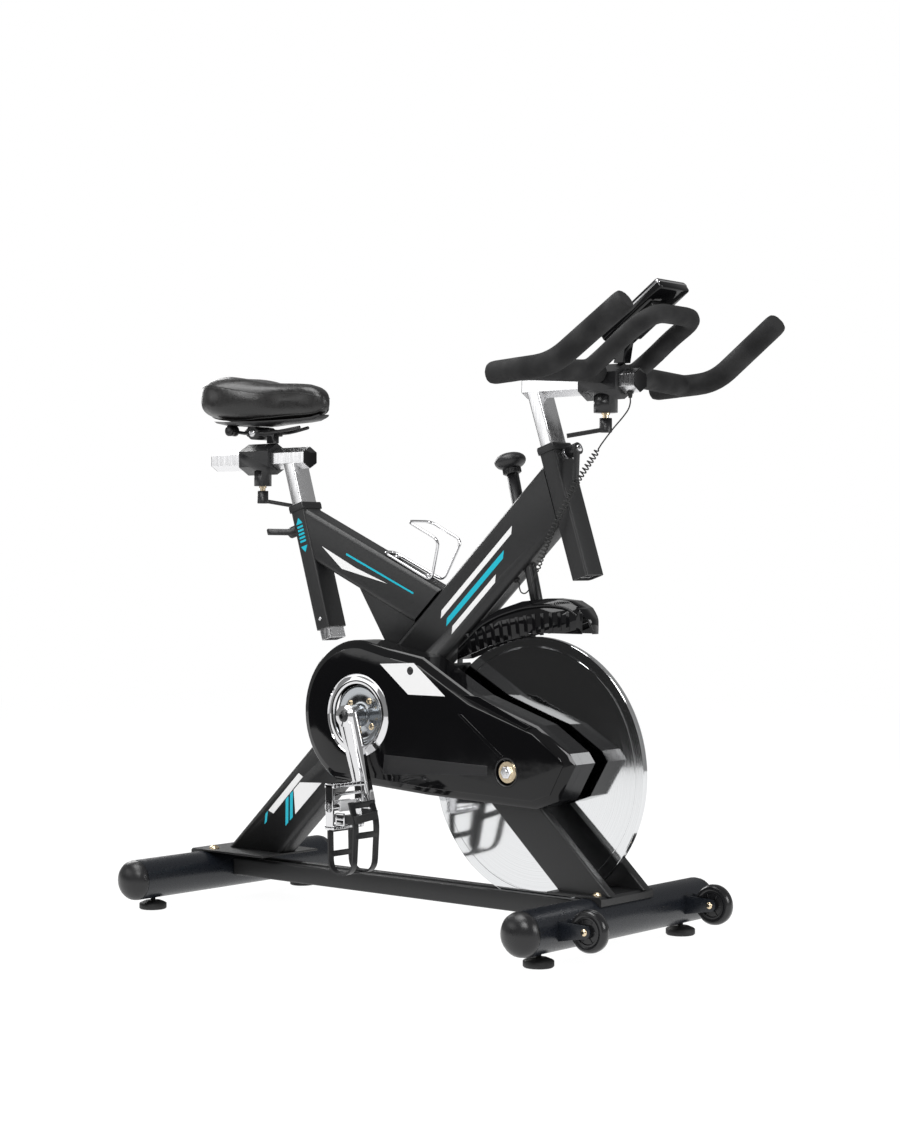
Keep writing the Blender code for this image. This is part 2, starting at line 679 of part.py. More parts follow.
# ---------------------------------------------------------------- drive
def belt_path(extra):
    """The closed outline of the two pulleys and the belt between them, grown by a distance."""
    big, small = at(*CRANK_AXIS), at(*FLYWHEEL_AXIS)
    apart = small - big
    slant = atan2(apart.z, apart.x)
    spread = (DRIVE_PULLEY_R - FLYWHEEL_PULLEY_R) / hypot(apart.x, apart.z)
    turn = (pi / 2 - spread)
    from_deg, to_deg = (slant + turn) * 180 / pi, (slant - turn) * 180 / pi
    path = arc((big.x, big.z), DRIVE_PULLEY_R + extra, from_deg, to_deg + 360, 40)
    return path + arc((small.x, small.z), FLYWHEEL_PULLEY_R + extra, to_deg, from_deg, 12)


def belt():
    near, far = BELT_Y - BELT_WIDTH / 2, BELT_Y + BELT_WIDTH / 2
    inner, outer = belt_path(GAP), belt_path(GAP + BELT_THICKNESS)
    loops = [[(x, y, z) for x, z in path] for path, y in ((outer, near), (outer, far), (inner, far), (inner, near))]
    add("drive_belt", skin(loops, True), "rubber")


def flywheel():
    half, edge = FLYWHEEL_THICKNESS / 2, 0.001
    bore = AXLE_R + 0.0006
    profile = [(bore, -HUB_HALF), (HUB_R, -HUB_HALF), (HUB_R, -half), (FLYWHEEL_R - edge, -half),
               (FLYWHEEL_R, -half + edge), (FLYWHEEL_R, half - edge), (FLYWHEEL_R - edge, half),
               (HUB_R, half), (HUB_R, HUB_HALF), (bore, HUB_HALF)]
    axis = at(*FLYWHEEL_AXIS)
    disc = add("flywheel", turned(profile, SIDE, axis, 72), "chrome", 30)
    near, far = BELT_Y - BELT_WIDTH / 2 - 0.002, -HUB_HALF - GAP
    lip = FLYWHEEL_PULLEY_R + 0.0035
    seat = FLYWHEEL_PULLEY_R
    profile = [(bore, near), (lip, near), (lip, near + 0.0015), (seat, near + 0.0017), (seat, far - 0.0027),
               (lip, far - 0.0025), (lip, far), (bore, far)]
    small = add("flywheel_pulley", turned(profile, SIDE, axis, 24), "steel", 30)
    pivot("flywheel_spin", axis, [disc, small])


def flywheel_axle():
    """A fixed axle with a washer, a nut and a bolt head at each end."""
    outer = FORK_INNER + FORK_THICKNESS + GAP
    half = [(AXLE_R, outer), (0.016, outer), (0.016, outer + 0.002), (0.0125, outer + 0.002),
            (0.0125, outer + 0.011), (0.010, outer + 0.012), (0.010, AXLE_END), (0, AXLE_END)]
    profile = [(r, -y) for r, y in reversed(half)] + half
    add("flywheel_axle", turned(profile, SIDE, at(*FLYWHEEL_AXIS), 18), "steel", 30)


def crank_arm(name, side, swing):
    """A forged arm: a boss on the axle, a tapered blade and the pedal eye."""
    axis = at(*CRANK_AXIS)
    eye = axis - leaning(swing) * CRANK_LENGTH
    along = atan2(eye.z - axis.z, eye.x - axis.x) * 180 / pi
    blade = arc((axis.x, axis.z), CRANK_BOSS_R, along + 95, along + 265, 14)
    blade += arc((eye.x, eye.z), CRANK_EYE_R, along - 88, along + 88, 12)
    outer, inner = side * CRANK_OUTER, side * (CRANK_OUTER - CRANK_THICKNESS)
    made = add(name, slab(blade, outer, inner), "chrome", 40)
    boss_inner = CRANK_INNER if side < 0 else SHELL_LEFT + 0.010
    weld(made, rod(CRANK_BOSS_R - 0.0005, boss_inner, CRANK_OUTER + 0.004, SIDE * side, axis, 28))
    return made, eye


def crank_set():
    axis = at(*CRANK_AXIS)
    near, far = BELT_Y - BELT_WIDTH / 2 - 0.0015, BELT_Y + BELT_WIDTH / 2 + 0.001
    bore = CRANK_AXLE_R + 0.0004
    web = near + 0.004
    profile = [(bore, near), (DRIVE_PULLEY_R + 0.003, near), (DRIVE_PULLEY_R + 0.003, near + 0.0012),
               (DRIVE_PULLEY_R, near + 0.0014), (DRIVE_PULLEY_R, far), (DRIVE_PULLEY_R - 0.006, far),
               (DRIVE_PULLEY_R - 0.008, web), (bore, web)]
    pulley = add("drive_pulley", turned(profile, SIDE, axis, 48), "matte_black", 30)
    face = COVER_FACE + 0.003
    profile = [(0, -CRANK_INNER + GAP), (CRANK_AXLE_R, -CRANK_INNER + GAP), (CRANK_AXLE_R, face - 0.001),
               (0.026, face - 0.001), (0.030, face + 0.008), (DISH_R - 0.012, face + 0.009), (DISH_R - 0.004, face),
               (DISH_R, face), (DISH_R, face + 0.004), (DISH_R - 0.006, face + 0.012), (0.032, face + 0.012),
               (0.020, near - 0.012), (0.020, near - GAP), (CRANK_AXLE_R, near - GAP),
               (CRANK_AXLE_R, SHELL_LEFT + 0.010 - GAP), (0, SHELL_LEFT + 0.010 - GAP)]
    spider = add("crank_spider", turned(profile, SIDE, axis, 32), "chrome", 40)
    right, right_eye = crank_arm("crank_arm_right", -1, CRANK_SWING)
    left, left_eye = crank_arm("crank_arm_left", 1, CRANK_SWING + pi)
    pivot("crank_spin", axis, [spider, pulley, right, left])
    pedal("right", -1, right_eye)
    pedal("left", 1, left_eye)


def pedal(hand, side, eye):
    """A platform that hangs upright under its toe cage, on a spindle screwed into the crank's eye."""
    start = CRANK_OUTER + GAP
    inner = start + PEDAL_NECK
    centre = eye + SIDE * side * (inner + PEDAL_WIDTH / 2)
    size = (PEDAL_THICKNESS, PEDAL_WIDTH, PEDAL_LENGTH)
    made = add(f"pedal_{hand}", block(size, Matrix.Translation(centre), 0.005), "chrome", 40)
    weld(made, rod(0.0085, start, inner + 0.010, SIDE * side, eye, 20))
    hook = [(-PEDAL_THICKNESS / 2 + 0.002, -PEDAL_LENGTH / 2 - GAP - CAGE_WIRE),
            (-PEDAL_THICKNESS / 2 + 0.004, -PEDAL_LENGTH / 2 - CAGE_DROP),
            (CAGE_DEPTH - 0.006, -PEDAL_LENGTH / 2 - CAGE_DROP),
            (CAGE_DEPTH, -PEDAL_LENGTH / 2 + 0.014), (CAGE_DEPTH - 0.014, 0.010)]
    run = filleted([Vector((u, 0, w)) for u, w in hook], 0.026, 6)
    half = CAGE_WIRE / 2
    outer, inner_side = [], []
    for k, point in enumerate(run):
        before, after = run[max(k - 1, 0)], run[min(k + 1, len(run) - 1)]
        across = (after - before).normalized().cross(SIDE)
        outer.append(point + across * half)
        inner_side.append(point - across * half)
    outline = [(eye.x + p.x, eye.z + p.z) for p in outer + inner_side[::-1]]
    low, high = sorted((centre.y - CAGE_WIDTH / 2, centre.y + CAGE_WIDTH / 2))
    cage = add(f"toe_cage_{hand}", slab(outline, low, high), "matte_black", 40)
    foot_z = eye.z - PEDAL_LENGTH / 2 - GAP - CAGE_WIRE / 2
    flange = Matrix.Translation((eye.x, centre.y, foot_z))
    weld(cage, block((PEDAL_THICKNESS, CAGE_WIDTH, CAGE_WIRE), flange))
    for u, w, wide, tall in ((0.020, -CAGE_DROP - 0.035, 0.046, 0.050), (0.052, -0.040, 0.044, 0.046)):
        middle = Matrix.Translation((eye.x + u, centre.y, eye.z + w))
        cut(cage, block((0.030 if u < 0.03 else 0.022, wide, tall), middle))
    pivot(f"pedal_{hand}_spin", eye, [made, cage])


def cover_outline():
    """The belt cover's outline, anticlockwise: a round rear about the crank and a facetted nose."""
    run = [(-0.366, 0.261), (-0.108, 0.253), (-0.058, 0.271), (-0.019, 0.338), (-0.033, 0.357), (-0.105, 0.403),
           (-0.253, 0.451), (-0.323, 0.489), (-0.379, 0.520), (-0.465, 0.534)]
    rear = arc(COVER_ROUND_AXIS, COVER_ROUND_R, 82, 245, 26)
    return [(FRONT_X + x, z) for x, z in run + rear]


def covers():
    """An outer tray and an inner band, which close over the belt from both sides."""
    outline = cover_outline()
    inner = inset(outline, COVER_WALL)
    rings = ((outline, COVER_SPLIT), (outline, COVER_FACE + COVER_CHAMFER), (inset(outline, COVER_CHAMFER), COVER_FACE),
             (inset(outline, COVER_CHAMFER), COVER_FACE + COVER_WALL),
             (inner, COVER_FACE + COVER_CHAMFER + 0.001), (inner, COVER_SPLIT))
    loops = [[Vector((x, y, z)) for x, z in ring] for ring, y in rings]
    bm = bmesh.new()
    rows = [[bm.verts.new(point) for point in loop] for loop in loops]
    for low, high in ((0, 1), (1, 2), (3, 4), (4, 5), (5, 0)):
        for k in range(len(outline)):
            after = (k + 1) % len(outline)
            bm.faces.new((rows[low][k], rows[low][after], rows[high][after], rows[high][k]))
    bm.faces.new(rows[2])
    bm.faces.new(rows[3])
    outer = add("belt_cover_outer", bm, "gloss_black", 25)
    cut(outer, rod(DISH_HOLE_R, -0.12, -0.05, SIDE, at(*CRANK_AXIS), 48))
    cut(outer, rod(NUT_HOLE_R, -0.12, -0.05, SIDE, at(*FLYWHEEL_AXIS), 32))
    near, far = COVER_SPLIT + GAP, COVER_BACK
    loops = [[(x, y, z) for x, z in ring] for ring, y in ((outline, near), (outline, far), (inner, far), (inner, near))]
    band = add("belt_cover_inner", skin(loops, True), "gloss_black", 25)
    leg = rounded_box(FORK_DEPTH + 0.004, FORK_THICKNESS + 0.010, 0.002)
    shift = -SIDE * (FORK_INNER - 0.001 + FORK_THICKNESS / 2 + 0.005)
    low = at(*FORK_FOOT) + shift
    cut(band, beam(low, low + FORK_DIR * 0.40, leg))


def fender():
    """A deep cover over the flywheel's top, open below."""
    top = [(-0.346, 0.538), (-0.290, 0.588), (-0.245, 0.611), (-0.189, 0.627), (-0.130, 0.633), (-0.085, 0.629),
           (-0.060, 0.616), (-0.042, 0.596), (-0.035, 0.569)]
    bottom = [(-0.165, 0.569), (-0.250, 0.549), (-0.300, 0.531), (-0.346, 0.515)]
    outline = [(FRONT_X + x, z) for x, z in top + bottom][::-1]
    made = add("fender", slab(outline, -FENDER_HALF, FENDER_HALF), "gloss_black", 40)
    nose = FRONT_X + top[-1][0]
    plan = [(nose - 0.40, -0.05), (nose - FENDER_NOSE, -0.05)]
    plan += [(nose - FENDER_NOSE + FENDER_NOSE * cos(radians(t)), FENDER_HALF * sin(radians(t)))
             for t in range(-90, 91, 18)]
    plan += [(nose - FENDER_NOSE, 0.05), (nose - 0.40, 0.05)]
    combine(made, skin([[(x, y, z) for x, y in plan] for z in (0.45, 0.70)]), "INTERSECT")
    roof = [(FRONT_X + x, z) for x, z in top][::-1]
    sunk = inset(outline, FENDER_WALL)[-len(roof):]
    pocket = sunk + [(sunk[-1][0], 0.45), (sunk[0][0], 0.45)]
    half = FENDER_HALF - FENDER_WALL
    cut(made, slab(pocket, -half, half))
    cut(made, rod(BRAKE_ROD_R + 0.001, 0.03, 0.10, leaning(BRAKE_LEAN), at(*BRAKE_FOOT), 24))


def brake():
    """A rod through the main beam: push it to stop the wheel, turn its knob to feed the pad."""
    up = leaning(BRAKE_LEAN)
    line = at(*BRAKE_FOOT)
    low = PAD_CLEARANCE
    rod_low = low + PAD_HEIGHT + GAP
    rod_high = rod_low + BRAKE_ROD_LENGTH
    stem = add("brake_rod", rod(BRAKE_ROD_R, rod_low, rod_high, up, line, 28), "matte_black", 40)
    axle = at(*FLYWHEEL_AXIS)
    radial = (line - axle).normalized()
    sole = axle + radial * (FLYWHEEL_R + PAD_CLEARANCE)
    ahead = SIDE.cross(up)
    outline = []
    for u in (-0.026, 0.026):
        top = line + ahead * u + up * (low + PAD_HEIGHT)
        below = meet(top, -up, sole, radial)
        outline += [top, below] if u < 0 else [below, top]
    pad = add("brake_pad", slab([(p.x, p.z) for p in outline], -0.013, 0.013), "leather", 40)
    base = rod_high + GAP
    profile = [(0, base), (0.015, base), (0.017, base + 0.002), (0.017, base + 0.010), (0.022, base + 0.013),
               (KNOB_R - 0.003, base + 0.018), (KNOB_R, base + 0.025), (KNOB_R - 0.003, base + 0.032),
               (KNOB_R - 0.011, base + 0.038), (0.008, base + 0.0405), (0, base + 0.041)]
    knob = add("brake_knob", turned(profile, up, line, 28), "matte_black", 60)
    pivot("brake_press", line, [stem, pad, knob])


def build_drive():
    flywheel()
    flywheel_axle()
    belt()
    crank_set()
    covers()
    fender()
    brake()


# ---------------------------------------------------------------- saddle
def hex_post(name, foot_xz, up, tail, rail_z, rail_back, rail_front):
    """A post with a six-sided rail welded across its top."""
    low = at(*foot_xz) - up * tail
    high = meet(low, up, Vector((0, 0, rail_z - HEX_FLATS * 0.30)), UP)
    outer = rounded_box(POST_DEPTH, POST_WIDTH, 0.004)
    inner = rounded_box(POST_DEPTH - 2 * STEEL_WALL, POST_WIDTH - 2 * STEEL_WALL, 0.002)
    made = add(name, beam(low, high, outer, inner, head_normal=UP), "aluminium")
    back, front = at(rail_back, rail_z), at(rail_front, rail_z)
    rail = beam(back, front, hexagon(HEX_FLATS)[::-1], hexagon(HEX_FLATS - 2 * HEX_WALL)[::-1], across=UP)
    return weld(made, rail)


def carriage(name, x, rail_z, boss_r):
    """A block that slides on a six-sided rail, with a boss below for its clamp screw."""
    back, front = at(x - CARRIAGE_LENGTH / 2, rail_z), at(x + CARRIAGE_LENGTH / 2, rail_z)
    inner = hexagon(HEX_FLATS + 2 * HEX_PLAY)[::-1]
    made = add(name, beam(back, front, hexagon(CARRIAGE_FLATS)[::-1], inner, across=UP), "matte_black")
    low = -BOSS_DROP
    high = -(HEX_FLATS / 2 / cos(pi / 6) + HEX_PLAY + 0.002)
    return weld(made, rod(boss_r, low, high, UP, at(x, rail_z), 24))


def lever(name, seat_point, axis, reach, slope=0.0):
    """A clamp lever: a screw, a hub and an arm with a rounded grip. The axis points to the clamped piece."""
    hub_low = -LEVER_NECK - LEVER_HUB_HEIGHT
    profile = [(0, hub_low), (LEVER_HUB_R - 0.001, hub_low), (LEVER_HUB_R, hub_low + 0.001),
               (LEVER_HUB_R, -LEVER_NECK), (LEVER_SCREW_R, -LEVER_NECK), (LEVER_SCREW_R, -GAP), (0, -GAP)]
    made = add(name, turned(profile, axis, seat_point, 20), "matte_black", 40)
    middle = seat_point + axis * (hub_low + 0.006)
    tip = middle + reach - axis * slope
    across = axis.cross(reach).normalized()
    near, far = middle + (tip - middle) * 0.06, tip
    outer = rounded_box(0.008, 0.013, 0.003)
    return weld(made, beam(near, far, outer, across=across)), seat_point


def saddle_stations():
    """Half width, top and bottom of the saddle along its length, rear to nose."""
    length = SADDLE_NOSE - SADDLE_REAR
    rows = ((0.00, 0.30, 1.050, 1.018), (0.03, 0.62, 1.068, 1.003), (0.09, 0.86, 1.080, 0.995),
            (0.18, 0.98, 1.084, 0.990), (0.28, 1.00, 1.081, 0.988), (0.38, 0.88, 1.075, 0.988),
            (0.48, 0.66, 1.069, 0.988), (0.58, 0.47, 1.066, 0.989), (0.70, 0.37, 1.065, 0.990),
            (0.82, 0.32, 1.063, 0.991), (0.91, 0.27, 1.058, 0.993), (0.97, 0.19, 1.048, 0.998),
            (1.00, 0.10, 1.036, 1.008))
    for share, wide, top, bottom in rows:
        yield SADDLE_REAR + share * length, wide * SADDLE_WIDTH / 2, top, bottom


def squared(value):
    """Pushes a point of a circle out towards a square."""
    return abs(value) ** 0.6 * (1 if value > 0 else -1)


def saddle_cushion():
    """The padded top, lofted through its stations."""
    loops = []
    for x, half, top, bottom in saddle_stations():
        middle, rise = (top + bottom) / 2, (top - bottom) / 2
        ring = []
        for k in range(16):
            turn = 2 * pi * k / 16
            c, s = cos(turn), sin(turn)
            ring.append(at(x, middle + rise * squared(s), half * squared(c)))
        loops.append(ring)
    return add("saddle_cushion", skin(loops), "leather", 60)


def saddle_base():
    """The plastic pan under the cushion."""
    loops = []
    for x, half, top, bottom in list(saddle_stations())[3:-1]:
        wide, deep = half * 0.74, 0.007
        roof = bottom - GAP
        ring = [at(x, roof, -wide), at(x, roof, wide), at(x, roof - deep * 0.5, wide * 0.9),
                at(x, roof - deep, wide * 0.5), at(x, roof - deep, -wide * 0.5), at(x, roof - deep * 0.5, -wide * 0.9)]
        loops.append(ring)
    return add("saddle_base", skin(loops), "matte_black", 30)


def saddle_clamp():
    """The pillar, its clamp and the two steel rails that the clamp holds."""
    top_of_carriage = SEAT_RAIL_Z + CARRIAGE_FLATS / 2 / cos(pi / 6)
    made = add("saddle_clamp", rod(PILLAR_R, top_of_carriage + GAP, CLAMP_Z, UP, at(PILLAR_X, 0), 24), "matte_black")
    weld(made, rod(CLAMP_R, -CLAMP_HALF, CLAMP_HALF, SIDE, at(CLAMP_X, CLAMP_Z), 20))
    weld(made, block((PILLAR_X - CLAMP_X + 0.020, 0.040, 0.014),
                     Matrix.Translation(at((PILLAR_X + CLAMP_X) / 2, CLAMP_Z)), 0.002))
    for side in (-1, 1):
        y = side * RAIL_SPREAD
        run = [at(CLAMP_X - 0.070, CLAMP_Z + 0.008, y), at(CLAMP_X - 0.030, CLAMP_Z, y),
               at(CLAMP_X + 0.060, CLAMP_Z, y), at(CLAMP_X + 0.120, CLAMP_Z + 0.008, side * 0.012)]
        weld(made, tube(filleted(run, 0.02, 2), SADDLE_RAIL_R, sides=8))
    return made


def build_seat():
    foot_xz = SEAT_SLEEVE_FOOT
    post = hex_post("seat_post", foot_xz, SEAT_UP, POST_TAIL, SEAT_RAIL_Z, SEAT_RAIL_BACK, SEAT_RAIL_FRONT)
    pivot("seat_height", at(*foot_xz), [post])
    block_piece = carriage("seat_carriage", SEAT_CARRIAGE_X, SEAT_RAIL_Z, SEAT_BOSS_R)
    pieces = [block_piece, saddle_cushion(), saddle_base(), saddle_clamp()]
    pivot("seat_slide", at(SEAT_CARRIAGE_X, SEAT_RAIL_Z), pieces)
    screw = at(SEAT_CARRIAGE_X, SEAT_RAIL_Z - BOSS_DROP)
    turn = radians(42)
    made, spot = lever("seat_slide_lever", screw, UP, Vector((cos(turn), sin(turn), 0)) * LEVER_REACH,
                       LEVER_SLOPE)
    pivot("seat_slide_lever_turn", spot, [made])
    face = at(*foot_xz) + SEAT_UP * (SEAT_SLEEVE_LENGTH - 0.040) - SEAT_FRONT * (SLEEVE_DEPTH / 2)
    made, spot = lever("seat_height_lever", face, SEAT_FRONT, -SIDE * LEVER_REACH)
    pivot("seat_height_lever_turn", spot, [made])


# ---------------------------------------------------------------- handlebar
def mirrored(points):
    """The same run on the other side of the bike."""
    return [Vector((p.x, -p.y, p.z)) for p in points]


def handlebar():
    """Foam-covered bars in one piece: two cross arms, two horns and a loop that ties the arms together."""
    cross_x = BAR_CARRIAGE_X + 0.005
    flank = CARRIAGE_FLATS / 2 + GAP
    arm = [at(cross_x, BAR_Z, flank), at(cross_x, BAR_Z, LOOP_Y), at(cross_x, BAR_Z - 0.008, HORN_Y)]
    horn = [at(cross_x - 0.074, BAR_Z - 0.012, HORN_Y), at(cross_x + 0.066, BAR_Z - 0.004, HORN_Y + 0.003),
            at(cross_x + 0.212, BAR_Z + 0.098, HORN_Y - 0.009)]
    leg = [at(cross_x + 0.004, BAR_Z, LOOP_Y), at(cross_x + 0.050, BAR_Z + 0.030, LOOP_Y),
           at(cross_x + 0.092, BAR_Z + 0.062, LOOP_Y), at(cross_x + 0.148, BAR_Z + 0.094, LOOP_Y - 0.004)]
    loop = filleted(leg + mirrored(leg)[::-1], 0.055, 4)
    made = add("handlebar", tube(loop, LOOP_R, sides=14), "foam", 40)
    for turn in (lambda run: run, mirrored):
        weld(made, tube(turn(arm), BAR_R))
        weld(made, tube(turn(filleted(horn, 0.036, 5)), BAR_R + 0.0005, 0.012))
    return made


def console():
    """A tilted display, with a bracket that stands on the carriage."""
    along, over = rising(CONSOLE_TILT), leaning(CONSOLE_TILT)
    middle = at(*CONSOLE_CENTRE)
    size = (CONSOLE_LENGTH, CONSOLE_WIDTH, CONSOLE_THICKNESS)
    made = add("console", block(size, facing(over, middle), 0.005), "gloss_black", 40)
    foot_z = BAR_RAIL_Z + CARRIAGE_FLATS / 2 / cos(pi / 6) + GAP
    low_edge = middle - along * (CONSOLE_LENGTH / 2 - 0.018)
    stand = [(low_edge.x - 0.010, foot_z), (low_edge.x + 0.010, foot_z), (low_edge.x + 0.020, low_edge.z),
             (low_edge.x + 0.004, low_edge.z - 0.002)]
    return weld(made, slab(stand, -0.012, 0.012))


def cord_entry():
    """Where the console cord goes into the main beam, on its underside."""
    under = at(*BEAM_POINT) - BEAM_UP * (BEAM_HEIGHT / 2)
    return meet(at(CORD_ENTRY_X, 0.5, CORD_ENTRY_Y), UP, under, BEAM_UP)


def smooth_run(points, steps=4):
    """A smooth curve through points chosen by hand."""
    ends = [points[0] * 2 - points[1]] + points + [points[-1] * 2 - points[-2]]
    run = []
    for a, b, c, d in zip(ends, ends[1:], ends[2:], ends[3:]):
        for k in range(steps):
            t = k / steps
            run.append(0.5 * (2 * b + (c - a) * t + (2 * a - 5 * b + 4 * c - d) * t ** 2
                              + (3 * b - a - 3 * c + d) * t ** 3))
    return run + [points[-1]]


def console_cord():
    """The cord from the handlebar's rail down to the main beam, coiled in its middle so that it can stretch."""
    upper = [at(0.0395, 0.9938), at(0.0395, 0.9850), at(0.0370, 0.9730, -0.003), at(0.0280, 0.9580, -0.009),
             at(0.0150, 0.9410, -0.016), at(0.0010, 0.9220, -0.022), at(-0.0080, 0.9080, -0.027)]
    coil = [at(-0.0100, 0.9040, -0.028), at(-0.0260, 0.8800, -0.033), at(-0.0480, 0.8480, -0.039),
            at(-0.0710, 0.8110, -0.042), at(-0.0960, 0.7700, -0.043), at(-0.1220, 0.7240, -0.042),
            at(-0.1460, 0.6800, -0.038)]
    lower = [at(-0.1480, 0.6760, -0.037), at(-0.1550, 0.6640, -0.035), at(-0.1660, 0.6500, -0.031),
             at(-0.1800, 0.6420, -0.026), at(-0.1950, 0.6440, -0.019), at(-0.2040, 0.6530, -0.013)]
    lower += [cord_entry() - BEAM_UP * 0.010, cord_entry() - BEAM_UP * 0.005, cord_entry()]
    wire("console_cord_upper", smooth_run(upper), CORD_R, "rubber")
    wire("console_cord_coil", smooth_run(coil, 3), COIL_R, "rubber", sides=2)
    wire("console_cord_lower", smooth_run(lower), CORD_R, "rubber")
    low = BAR_RAIL_Z - HEX_FLATS / 2 / cos(pi / 6)
    profile = [(0, -0.009), (0.0032, -0.009), (0.0045, -0.001), (0.0065, -0.001), (0.0065, 0.004), (0, 0.004)]
    relief = add("cord_relief", turned(profile, UP, at(0.0395, low), 20), "rubber")
    rail = beam(at(BAR_RAIL_BACK, BAR_RAIL_Z), at(BAR_RAIL_FRONT, BAR_RAIL_Z), hexagon(HEX_FLATS + 2 * GAP)[::-1],
                across=UP)
    cut(relief, rail)
    bore, stem = CORD_R + 0.0005, CORD_R + 0.0019
    profile = [(bore, -0.0045), (0.0045, -0.0045), (0.0062, -0.003), (0.0062, -GAP), (stem, -GAP), (stem, 0.002),
               (bore, 0.002)]
    add("cord_grommet", turned(profile, BEAM_UP, cord_entry(), 20), "rubber")


def build_handlebar():
    foot_xz = HEAD_SLEEVE_FOOT
    post = hex_post("handlebar_post", foot_xz, HEAD_UP, -0.004, BAR_RAIL_Z, BAR_RAIL_BACK, BAR_RAIL_FRONT)
    pivot("handlebar_height", at(*foot_xz), [post])
    pivot("handlebar_slide", at(BAR_CARRIAGE_X, BAR_RAIL_Z),
          [carriage("handlebar_carriage", BAR_CARRIAGE_X, BAR_RAIL_Z, BAR_BOSS_R), handlebar(), console()])
    screw = at(BAR_CARRIAGE_X, BAR_RAIL_Z - BOSS_DROP)
    turn = radians(220)
    made, spot = lever("handlebar_slide_lever", screw, UP, Vector((cos(turn), sin(turn), 0)) * LEVER_REACH,
                       LEVER_SLOPE)
    pivot("handlebar_slide_lever_turn", spot, [made])
    face = at(*foot_xz) + HEAD_UP * (HEAD_SLEEVE_LENGTH - 0.020) + HEAD_FRONT * (SLEEVE_DEPTH / 2)
    hang = -HEAD_UP * cos(HEAD_LEVER_SWING) - SIDE * sin(HEAD_LEVER_SWING)
    made, spot = lever("handlebar_height_lever", face, -HEAD_FRONT, hang * LEVER_REACH)
    pivot("handlebar_height_lever_turn", spot, [made])
    console_cord()


build_base()
build_frame()
build_drive()
build_seat()
build_handlebar()
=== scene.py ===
# %% [markdown]
# # An indoor cycling bike
#
# The bike arrives as a fixed frame of closed solids, one for each steel tube, cover and moving piece. This
# lesson gives every one of them a finish, and adds the small things that make a machine believable: seams
# in the saddle, turns in the coiled cord, ribs in the wheel cover, screws, caps and printed stripes.
#
# Nothing here moves a solid. A new piece takes its place from the frame and then rides on one of its bodies.

# %% Load the frame
import json
from bisect import bisect_right
from math import cos, pi, radians, sin

import bmesh
import bpy
from mathutils import Matrix, Vector


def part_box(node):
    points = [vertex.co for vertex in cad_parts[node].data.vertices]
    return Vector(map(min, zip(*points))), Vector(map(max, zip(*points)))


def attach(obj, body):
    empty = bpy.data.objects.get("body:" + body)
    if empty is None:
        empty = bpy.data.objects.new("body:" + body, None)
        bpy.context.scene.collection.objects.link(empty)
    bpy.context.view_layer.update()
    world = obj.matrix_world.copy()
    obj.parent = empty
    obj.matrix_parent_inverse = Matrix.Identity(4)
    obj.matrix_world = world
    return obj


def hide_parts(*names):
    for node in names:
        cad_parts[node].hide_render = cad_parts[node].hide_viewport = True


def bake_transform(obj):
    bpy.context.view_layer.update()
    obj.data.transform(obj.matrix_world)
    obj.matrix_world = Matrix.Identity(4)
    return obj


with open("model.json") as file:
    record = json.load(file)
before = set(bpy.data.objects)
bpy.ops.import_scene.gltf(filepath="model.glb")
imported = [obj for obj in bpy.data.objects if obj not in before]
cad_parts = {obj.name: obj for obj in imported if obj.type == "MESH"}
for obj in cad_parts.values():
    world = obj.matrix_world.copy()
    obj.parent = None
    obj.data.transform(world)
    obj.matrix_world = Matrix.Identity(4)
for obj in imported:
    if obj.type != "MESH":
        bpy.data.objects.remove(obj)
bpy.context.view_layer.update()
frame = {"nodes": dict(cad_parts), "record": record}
print("solids in the frame:", len(frame["nodes"]))

# %% [markdown]
# ## Finding places
#
# Heights are measured from the floor and lengths from the front stabilizer, as a frame builder would with a
# tape. The leaning directions are read from the frame's own joints, so that a cap or a collar sits square
# on its post. Each beam has a run along its length and an over across it.

# %% Places and directions
UP = Vector((0, 0, 1))
SIDE = Vector((0, 1, 0))
AHEAD = Vector((1, 0, 0))

foot_low, foot_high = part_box("front_foot_right")
FRONT_X = (foot_low.x + foot_high.x) / 2


def at(x, z, y=0.0):
    """A point, by its distance from the front stabilizer, its height and its side."""
    return Vector((FRONT_X + x, y, z))


def joint_axis(name):
    """The direction of one of the frame's joints."""
    for entry in frame["record"]["behaviour"]["joints"]:
        if entry["name"] == name:
            return Vector(entry["axis"])
    raise KeyError(name)


def middle_of(node):
    """The middle of a solid's box."""
    low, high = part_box(node)
    return (low + high) / 2


def place(direction, origin):
    """A matrix that turns local +Z to a direction and keeps local +Y as level as it can."""
    third = direction.normalized()
    across = UP if abs(third.dot(SIDE)) > 0.9 else SIDE
    first = across.cross(third).normalized()
    second = third.cross(first)
    return Matrix.Translation(origin) @ Matrix((first, second, third)).transposed().to_4x4()


SIDES = (("right", -1), ("left", 1))
BASE_LENGTH = 0.988
SEAT_FOOT = at(-0.6965, 0.567)
HEAD_FOOT = at(-0.0545, 0.671)
SEAT_UP = joint_axis("seat_height")
SEAT_FRONT = SIDE.cross(SEAT_UP)
HEAD_UP = joint_axis("handlebar_height")
HEAD_FRONT = SIDE.cross(HEAD_UP)
BRAKE_UP = -joint_axis("brake_press")
CRANK = middle_of("drive_pulley")
CRANK.y = 0.0
WHEEL = middle_of("flywheel")
BEAM_SLOPE = radians(42.9)
BEAM_RUN = Vector((cos(BEAM_SLOPE), 0, sin(BEAM_SLOPE)))
BEAM_OVER = Vector((-BEAM_RUN.z, 0, BEAM_RUN.x))
BEAM_START = at(-0.098, 0.846)
SEAT_SLOPE = radians(24.0)
SEAT_RUN = Vector((cos(SEAT_SLOPE), 0, -sin(SEAT_SLOPE)))
SEAT_OVER = Vector((-SEAT_RUN.z, 0, SEAT_RUN.x))
SEAT_START = at(-0.654, 0.718)
